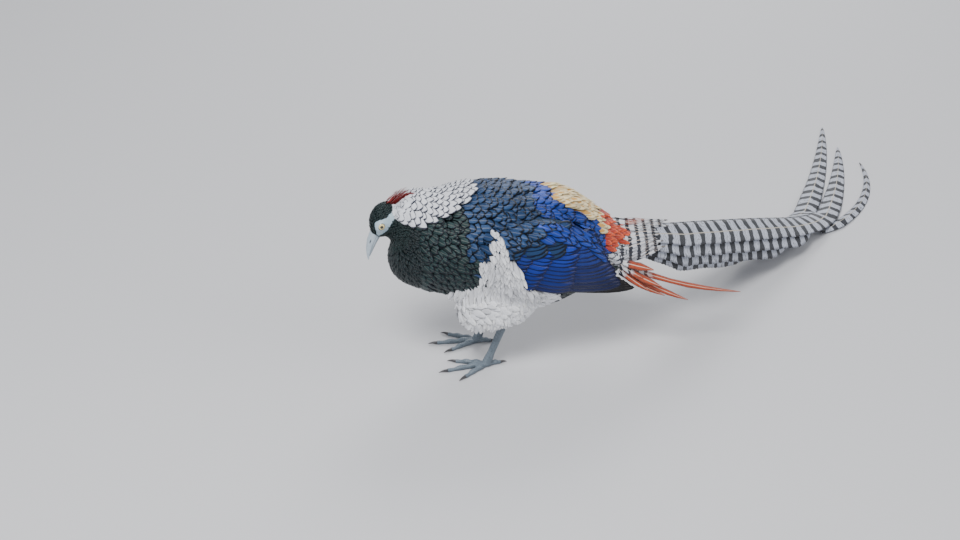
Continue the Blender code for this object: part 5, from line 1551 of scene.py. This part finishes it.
def turned(obj, centre, side):
    """Turn a piece made about the origin so that its Z faces out of the head's side."""
    local = corners(obj) / MM
    points = (centre + local[:, :1] * HEAD_AXIS + local[:, 1:2] * HEAD_UP
              + local[:, 2:] * np.array([0.0, side, 0.0]))
    obj.data.vertices.foreach_set("co", placed(points).ravel())
    bpy.ops.object.mode_set(mode="EDIT")
    bpy.ops.mesh.select_all(action="SELECT")
    bpy.ops.mesh.normals_make_consistent(inside=False)
    bpy.ops.object.mode_set(mode="OBJECT")
    bpy.ops.object.shade_smooth()
    return local


for side, end in SIDES:
    beside = float(head_at(EYE_PLACE[0])[2])
    centre = head_point(*EYE_PLACE, side * (beside + EYE_BULGE - EYE_RADIUS))
    pick()
    bpy.ops.mesh.primitive_uv_sphere_add(segments=48, ring_count=32,
                                         radius=(EYE_RADIUS - EYE_GAP) * MM)
    eye = bpy.context.active_object
    eye.name = eye.data.name = "eyeball_" + end
    local = turned(eye, centre, side)
    flat = local[:, :2] / (2 * EYE_RADIUS) + 0.5
    gaze_map = eye.data.uv_layers.new(name="gaze")
    corner = np.empty(len(eye.data.loops), dtype=np.int32)
    eye.data.loops.foreach_get("vertex_index", corner)
    gaze_map.data.foreach_set("uv", flat[corner].ravel())
    eye.data.materials.append(eye_material)
    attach(eye, "root")
    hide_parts("eye_" + end)
    pick()
    bpy.ops.mesh.primitive_torus_add(major_segments=72, minor_segments=24,
                                     major_radius=LID_RADIUS * MM, minor_radius=LID_THICK * MM)
    lid = bpy.context.active_object
    lid.name = lid.data.name = "lid_" + end
    ring = corners(lid) / MM
    bearing = np.arctan2(ring[:, 1], ring[:, 0])
    off = (np.linalg.norm(ring[:, :2], axis=1) - LID_RADIUS) / LID_THICK
    high = ring[:, 2] / LID_THICK
    wrinkle = 1 + 0.05 * np.sin(bearing * 17) + 0.05 * np.sin(bearing * 29 + 1.0)
    radial = LID_RADIUS + np.where(off > 0, LID_SKIRT, 0.85) * off * wrinkle
    radial = radial - 0.35 * np.clip(np.sin(bearing), 0, 1) ** 2
    rise = LID_RISE + np.where(high > 0, 1.0, 1.6) * high * wrinkle
    rise = rise - LID_DROP * np.clip(off, 0, 1) ** 1.3
    ring = np.stack([radial * 1.10 * np.cos(bearing), radial * 0.94 * np.sin(bearing), rise],
                    axis=-1)
    lid.data.vertices.foreach_set("co", (ring * MM).ravel())
    turned(lid, centre, side)
    paint_share(lid, "margin", np.clip(-off * 1.6, 0.0, 1.0))
    lid.data.materials.append(lid_material)
    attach(lid, "root")


# The bill: two halves of pale blue-grey horn that meet along the gape; the upper one is ridged and
# hooked over the lower, with a nostril under a soft flap on each side. The nostril is a shallow
# dent painted dark, painted shade for the opening, and the inner faces along the gape are painted
# dark too, painted shade between the halves.
BILL_LENGTH, BILL_BEND, BILL_HALF_WIDTH = 30.0, math.radians(26.0), 5.6
BILL_ROOT, BILL_STEPS = 4.0, 24
# Each half: depth at the root, the way it arches, and its share of the bill's length
BILL_HALVES = {"upper": (6.6, 1.0, 1.0), "lower": (4.4, -1.0, 0.88)}
NOSTRIL_SHARE, GAPE_GAP = 0.34, 0.3
ARCH_STEPS, FLOOR_STEPS, BILL_RINGS = 44, 8, 90


def bill_frame(share):
    """Return a place on the line of the mouth, and the way up from it there."""
    here = head_point(HEAD_SECTIONS[-1][0] - BILL_ROOT, -0.6, 0.0)
    for i in range(BILL_STEPS):
        turn = HEAD_DIP + BILL_BEND * ((i + 0.5) / BILL_STEPS) * share
        stride = (BILL_LENGTH + BILL_ROOT) * share / BILL_STEPS
        here = here + np.array([-math.cos(turn), 0.0, -math.sin(turn)]) * stride
    turn = HEAD_DIP + BILL_BEND * share
    return here, np.array([-math.sin(turn), 0.0, math.cos(turn)])


def bill_rings(depth, sign, reach):
    """Return the rings of one half of the bill and how dark each place is painted: painted shade
    in the nostril and on the inner faces along the gape.
    """
    rings, dark = [], []
    for part in 0.992 * np.linspace(0, 1, BILL_RINGS) ** 0.9:
        here, up = bill_frame(part * reach)
        taper = (1 - part ** 1.7) ** 0.8
        high, wide = 0.55 + depth * taper, 0.45 + BILL_HALF_WIDTH * taper
        ring, tone = [], []
        for k in range(ARCH_STEPS + 1):
            turn = math.pi * k / ARCH_STEPS
            pit = flap = 0.0
            if sign > 0:
                # The nostril: a dent whose pit is painted dark as painted shade, under a swollen
                # flap.
                off = ((part - NOSTRIL_SHARE) / 0.085) ** 2
                level = min(turn, math.pi - turn) - 0.5 * (part - NOSTRIL_SHARE)
                pit = math.exp(-off - ((level - 0.60) / 0.11) ** 2)
                flap = math.exp(-off / 2.0 - ((level - 0.90) / 0.22) ** 2)
            swell = 1 + 0.006 * math.sin(part * 90.0) - 0.20 * pit + 0.12 * flap
            rise = high * math.sin(turn) ** 0.92 * swell
            ring.append(here + np.array([0.0, wide * math.cos(turn) * swell, 0.0])
                        + up * (sign * (GAPE_GAP / 2 + rise)))
            tone.append(pit)
        # The inner face along the gape, painted at 0.3 dark: painted shade between the halves.
        for k in range(1, FLOOR_STEPS):
            rise = 0.12 * taper * math.sin(math.pi * k / FLOOR_STEPS)
            ring.append(here + np.array([0.0, wide * (2 * k / FLOOR_STEPS - 1), 0.0])
                        + up * (sign * (GAPE_GAP / 2 + rise)))
            tone.append(0.3)
        rings.append(ring)
        dark.append(tone)
    return rings, dark


bill_material, tree, shader = new_material("bill_horn", Roughness=0.36, Specular_IOR_Level=0.5)
streak = clouds(tree, 220.0, 5.0)
horn = blend(tree, streak, (0.30, 0.38, 0.46), (0.56, 0.64, 0.70))
# Painted shade: the stored dark share blackens the nostril and the inner faces along the gape.
horn = blend(tree, ramp(tree, stored(tree, "dark"), 0.25, 0.8), horn, (0.03, 0.035, 0.045))
dress(tree, shader, horn, streak, 0.25, 0.0003)
for half_name, (depth, sign, reach) in BILL_HALVES.items():
    rings, dark = bill_rings(depth, sign, reach)
    half = wrap("bill_" + half_name + "_horn", rings)
    bpy.ops.object.shade_smooth()
    flat = np.array(rings).reshape(-1, 3)
    spots = mesh_arrays(half)[0]
    nearest = ((spots[:, None] - flat[None]) ** 2).sum(axis=-1).argmin(axis=1)
    paint_share(half, "dark", np.array(dark).ravel()[nearest])
    half.data.materials.append(bill_material)
    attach(half, "root")
    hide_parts("bill_" + half_name)


# The legs: bare shanks with plates down the front, three long toes and a short hind one,
# and a spur behind; the tubes are fused into one skin and end in curved claws of dark horn.
FOOT_PLACE, FOOT_HEIGHT, HOCK_PLACE = (-21.0, 27.0), 3.2, (5.0, 31.0, 70.0)
TARSUS_RADIUS, TOE_RADIUS, CLAW_LENGTH = 4.3, 3.6, 10.0
# Toes: name, degrees off straight ahead and length
TOES = (("inner", 24.0, 34.0), ("middle", -6.0, 44.0), ("outer", -38.0, 35.0),
        ("hind", 172.0, 16.0))
SOLE_RADIUS, SOLE_FLATNESS = 5.6, 0.62
LEG_VOXEL, LEG_SMOOTHING = 0.0005, 2
PLATE_PITCH, TOE_PLATE_PITCH = 3.4, 2.3
SHANK_FRONT, TOE_FRONT = [-1.0, 0.0, 0.2], [0.0, 0.0, 1.0]
shank_swell = smooth([(0, 1.2), (0.1, 1.12), (0.22, 0.93), (0.5, 0.98), (0.8, 1.08), (1, 1.18)])


def limb(name, places, radii, pitch=None, front=None, sides=28):
    """Wrap a tube round a row of places; plates at a pitch swell its front in steps."""
    places, radii = np.asarray(places), np.asarray(radii)
    ways = unit(np.gradient(places, axis=0))
    beside = np.cross(ways, [0.0, 0.0, 1.0])
    beside = np.where(np.linalg.norm(beside, axis=1, keepdims=True) < 0.2, [0.0, 1.0, 0.0], beside)
    beside = unit(beside)
    upward = unit(np.cross(beside, ways))
    turns = (np.arange(sides) + 0.5) * 2 * math.pi / sides
    ring = (beside[:, None] * np.cos(turns)[None, :, None]
            + upward[:, None] * np.sin(turns)[None, :, None])
    size = np.repeat(radii[:, None], sides, axis=1)
    if pitch is not None:
        tooth = (run_of(places) / pitch) % 1.0
        facing = np.clip(ring @ unit(front), 0.0, 1.0) ** 0.5
        size = size * (1 + 0.10 * (tooth[:, None] - 0.5) * facing)
    points = places[:, None] + ring * size[..., None]
    points[..., 2] = np.maximum(points[..., 2], 0.0)
    return wrap(name, points)


def toe_course(side, bearing, length, count):
    """Return places and radii along one toe, with its pads."""
    foot = np.array([FOOT_PLACE[0], side * FOOT_PLACE[1], 0.0])
    turn = math.radians(180.0 + side * bearing)
    along = np.array([math.cos(turn), math.sin(turn), 0.0])
    parts = np.linspace(0, 1, count)
    radii = TOE_RADIUS * (1 - 0.42 * parts) * (1 + 0.12 * np.cos(parts * 6 * math.pi))
    height = radii * 0.72 + 0.8 * np.sin(math.pi * parts)
    places = foot + along * (length * parts)[:, None] + np.array([0, 0, 1.0]) * height[:, None]
    return places, radii, along


def mark_plates(leg, courses):
    """Store each point's place in the row of plates, and how far it faces them."""
    points, normals, _ = mesh_arrays(leg)
    nearest = np.full(len(points), np.inf)
    count, facing = np.zeros(len(points)), np.zeros(len(points))
    for places, radii, pitch, front in courses:
        far = np.linalg.norm(points[:, None] - places[None], axis=-1) - radii[None]
        spot, far = far.argmin(axis=1), far.min(axis=1)
        along = ((points - places[spot]) * unit(np.gradient(places, axis=0))[spot]).sum(axis=1)
        closer = far < nearest
        nearest = np.where(closer, far, nearest)
        count = np.where(closer, (run_of(places)[spot] + along) / pitch, count)
        facing = np.where(closer, normals @ unit(front), facing)
    for name, values in (("plate", count), ("facing", facing)):
        layer = leg.data.attributes.new(name, "FLOAT", "POINT")
        layer.data.foreach_set("value", values.astype(np.float32))


leg_material, tree, shader = new_material("leg_skin", Roughness=0.45)
scales = ramp(tree, texture(tree, "Voronoi", {"feature": "DISTANCE_TO_EDGE"},
                            Scale=900.0).outputs["Distance"], 0.0, 0.14)
plates = ramp(tree, maths(tree, "PINGPONG", stored(tree, "plate"), 0.5), 0.0, 0.09)
front = ramp(tree, stored(tree, "facing"), 0.42, 0.56)
edge = maths(tree, "ADD", scales,
             maths(tree, "MULTIPLY", front, maths(tree, "SUBTRACT", plates, scales)))
colour = blend(tree, clouds(tree, 120.0, 4.0), (0.10, 0.135, 0.17), (0.24, 0.29, 0.34))
colour = blend(tree, ramp(tree, edge, 0.0, 1.0, 0.65, 0.0), colour, (0.035, 0.045, 0.06))
dress(tree, shader, colour, edge, 0.6, 0.0003)
claw_material, tree, shader = new_material("claw_horn", Roughness=0.32)
grain = clouds(tree, 420.0, 4.0)
dress(tree, shader, blend(tree, grain, (0.02, 0.02, 0.024), (0.10, 0.095, 0.10)), grain, 0.3,
      0.0002)
for side, end in SIDES:
    foot = np.array([FOOT_PLACE[0], side * FOOT_PLACE[1], FOOT_HEIGHT])
    hock = np.array([HOCK_PLACE[0], side * HOCK_PLACE[1], HOCK_PLACE[2]])
    parts = np.linspace(0, 1, 110)
    courses = [(foot + (hock - foot) * parts[:, None], TARSUS_RADIUS * shank_swell(parts),
                PLATE_PITCH, SHANK_FRONT)]
    pieces = [limb("leg_skin_" + end, *courses[0], sides=36)]
    horns = []
    for _, bearing, length in TOES:
        places, radii, along = toe_course(side, bearing, length, int(length * 2.2))
        courses.append((places, radii, TOE_PLATE_PITCH, TOE_FRONT))
        pieces.append(limb("toe", *courses[-1]))
        size = CLAW_LENGTH * (0.75 if length < 20 else 1.0)
        reach = np.linspace(0, 1, 16)
        thick = radii[-1] * 0.74 * (1 - 0.90 * reach ** 1.25) + 0.05
        spots = places[-1] + along * (size * reach + 0.1 - 0.8 * (reach == 0))[:, None]
        spots[:, 2] = np.maximum(places[-1][2] + 0.9 * np.sin(reach * 2.2) - 1.5 * reach ** 2,
                                 thick + 0.1)
        horns.append(limb("claw", spots, thick, sides=20))
    pick()
    bpy.ops.mesh.primitive_uv_sphere_add(segments=32, ring_count=20, radius=SOLE_RADIUS * MM,
                                         location=placed(foot + [0.0, 0.0, 0.4]))
    bpy.ops.transform.resize(value=(1.0, 1.0, SOLE_FLATNESS))
    bpy.ops.object.transform_apply(location=True, rotation=True, scale=True)
    pieces.append(bpy.context.active_object)
    spur_root = foot + (hock - foot) * 0.28 + np.array([2.0, -side * 2.0, 3.0])
    reach = np.linspace(0, 6, 12)
    pieces.append(limb("spur", spur_root + np.array([1.0, -side * 0.5, 0.2]) * reach[:, None],
                       2.2 - 0.32 * reach, sides=16))
    leg = fused(pieces, LEG_VOXEL, LEG_SMOOTHING)
    bpy.ops.object.shade_smooth()
    mark_plates(leg, courses)
    leg.data.materials.clear()
    leg.data.materials.append(leg_material)
    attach(leg, "root")
    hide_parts("leg_" + end)
    pick(*horns)
    bpy.ops.object.join()
    claws = bpy.context.active_object
    claws.name = claws.data.name = "claws_" + end
    bpy.ops.object.shade_smooth()
    claws.data.materials.append(claw_material)
    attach(claws, "root")
    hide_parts(*(f"claw_{end}_{toe}" for toe, _, _ in TOES))


# The studio: a pale floor, soft light from the sky and three lamps, and the camera where
# the photographer stood, above and beside the bird.
SKY_COLOUR, SKY_STRENGTH, FLOOR_COLOUR = (0.90, 0.94, 1.0, 1.0), 0.42, (0.66, 0.66, 0.68, 1.0)
LAMP_AIM = Vector((0, 0, 0.1))
pick()
bpy.ops.mesh.primitive_plane_add(size=8.0, location=(0.0, 0.0, 0.0))
floor = bpy.context.active_object
floor.name = "floor"
floor_material, tree, shader = new_material("studio_floor", Roughness=0.85)
shader.inputs["Base Color"].default_value = FLOOR_COLOUR
floor.data.materials.append(floor_material)

world = bpy.context.scene.world or bpy.data.worlds.new("studio")
bpy.context.scene.world = world
world.use_nodes = True
world.node_tree.nodes["Background"].inputs[0].default_value = SKY_COLOUR
world.node_tree.nodes["Background"].inputs[1].default_value = SKY_STRENGTH
for name, place, size, power in (("key", (-0.9, -1.3, 1.9), 0.9, 52.0),
                                 ("fill", (1.6, -1.2, 1.0), 1.4, 12.0),
                                 ("rim", (0.4, 1.6, 1.4), 1.0, 24.0)):
    pick()
    bpy.ops.object.light_add(type="AREA", location=place)
    lamp = bpy.context.active_object
    lamp.name = name
    lamp.data.size, lamp.data.energy = size, power
    lamp.rotation_euler = (LAMP_AIM - Vector(place)).to_track_quat("-Z", "Y").to_euler()

# The picture's width in pixels, what a pixel shows at the bird, and the bird's place in it
PHOTO_WIDTH, METRES_A_PIXEL, SENSOR_WIDTH = 960, 0.00108, 36.0
SHIFT_RIGHT, SHIFT_UP, AIM_HEIGHT = -20, -15, 0.12
CAMERA_AZIMUTH, CAMERA_ELEVATION, CAMERA_DISTANCE = math.radians(-12.0), math.radians(27.0), 2.4
look = Vector((-math.sin(CAMERA_AZIMUTH) * math.cos(CAMERA_ELEVATION),
               math.cos(CAMERA_AZIMUTH) * math.cos(CAMERA_ELEVATION),
               -math.sin(CAMERA_ELEVATION)))
target = Vector(GROUND_POINT.tolist()) + Vector((0.0, 0.0, AIM_HEIGHT))
bpy.ops.object.camera_add(location=target - look * CAMERA_DISTANCE)
camera = bpy.context.active_object
camera.name = "camera"
camera.rotation_euler = look.to_track_quat("-Z", "Y").to_euler()
camera.data.sensor_width = SENSOR_WIDTH
camera.data.lens = CAMERA_DISTANCE * SENSOR_WIDTH / (PHOTO_WIDTH * METRES_A_PIXEL)
camera.data.shift_x, camera.data.shift_y = SHIFT_RIGHT / PHOTO_WIDTH, SHIFT_UP / PHOTO_WIDTH
bpy.context.scene.camera = camera
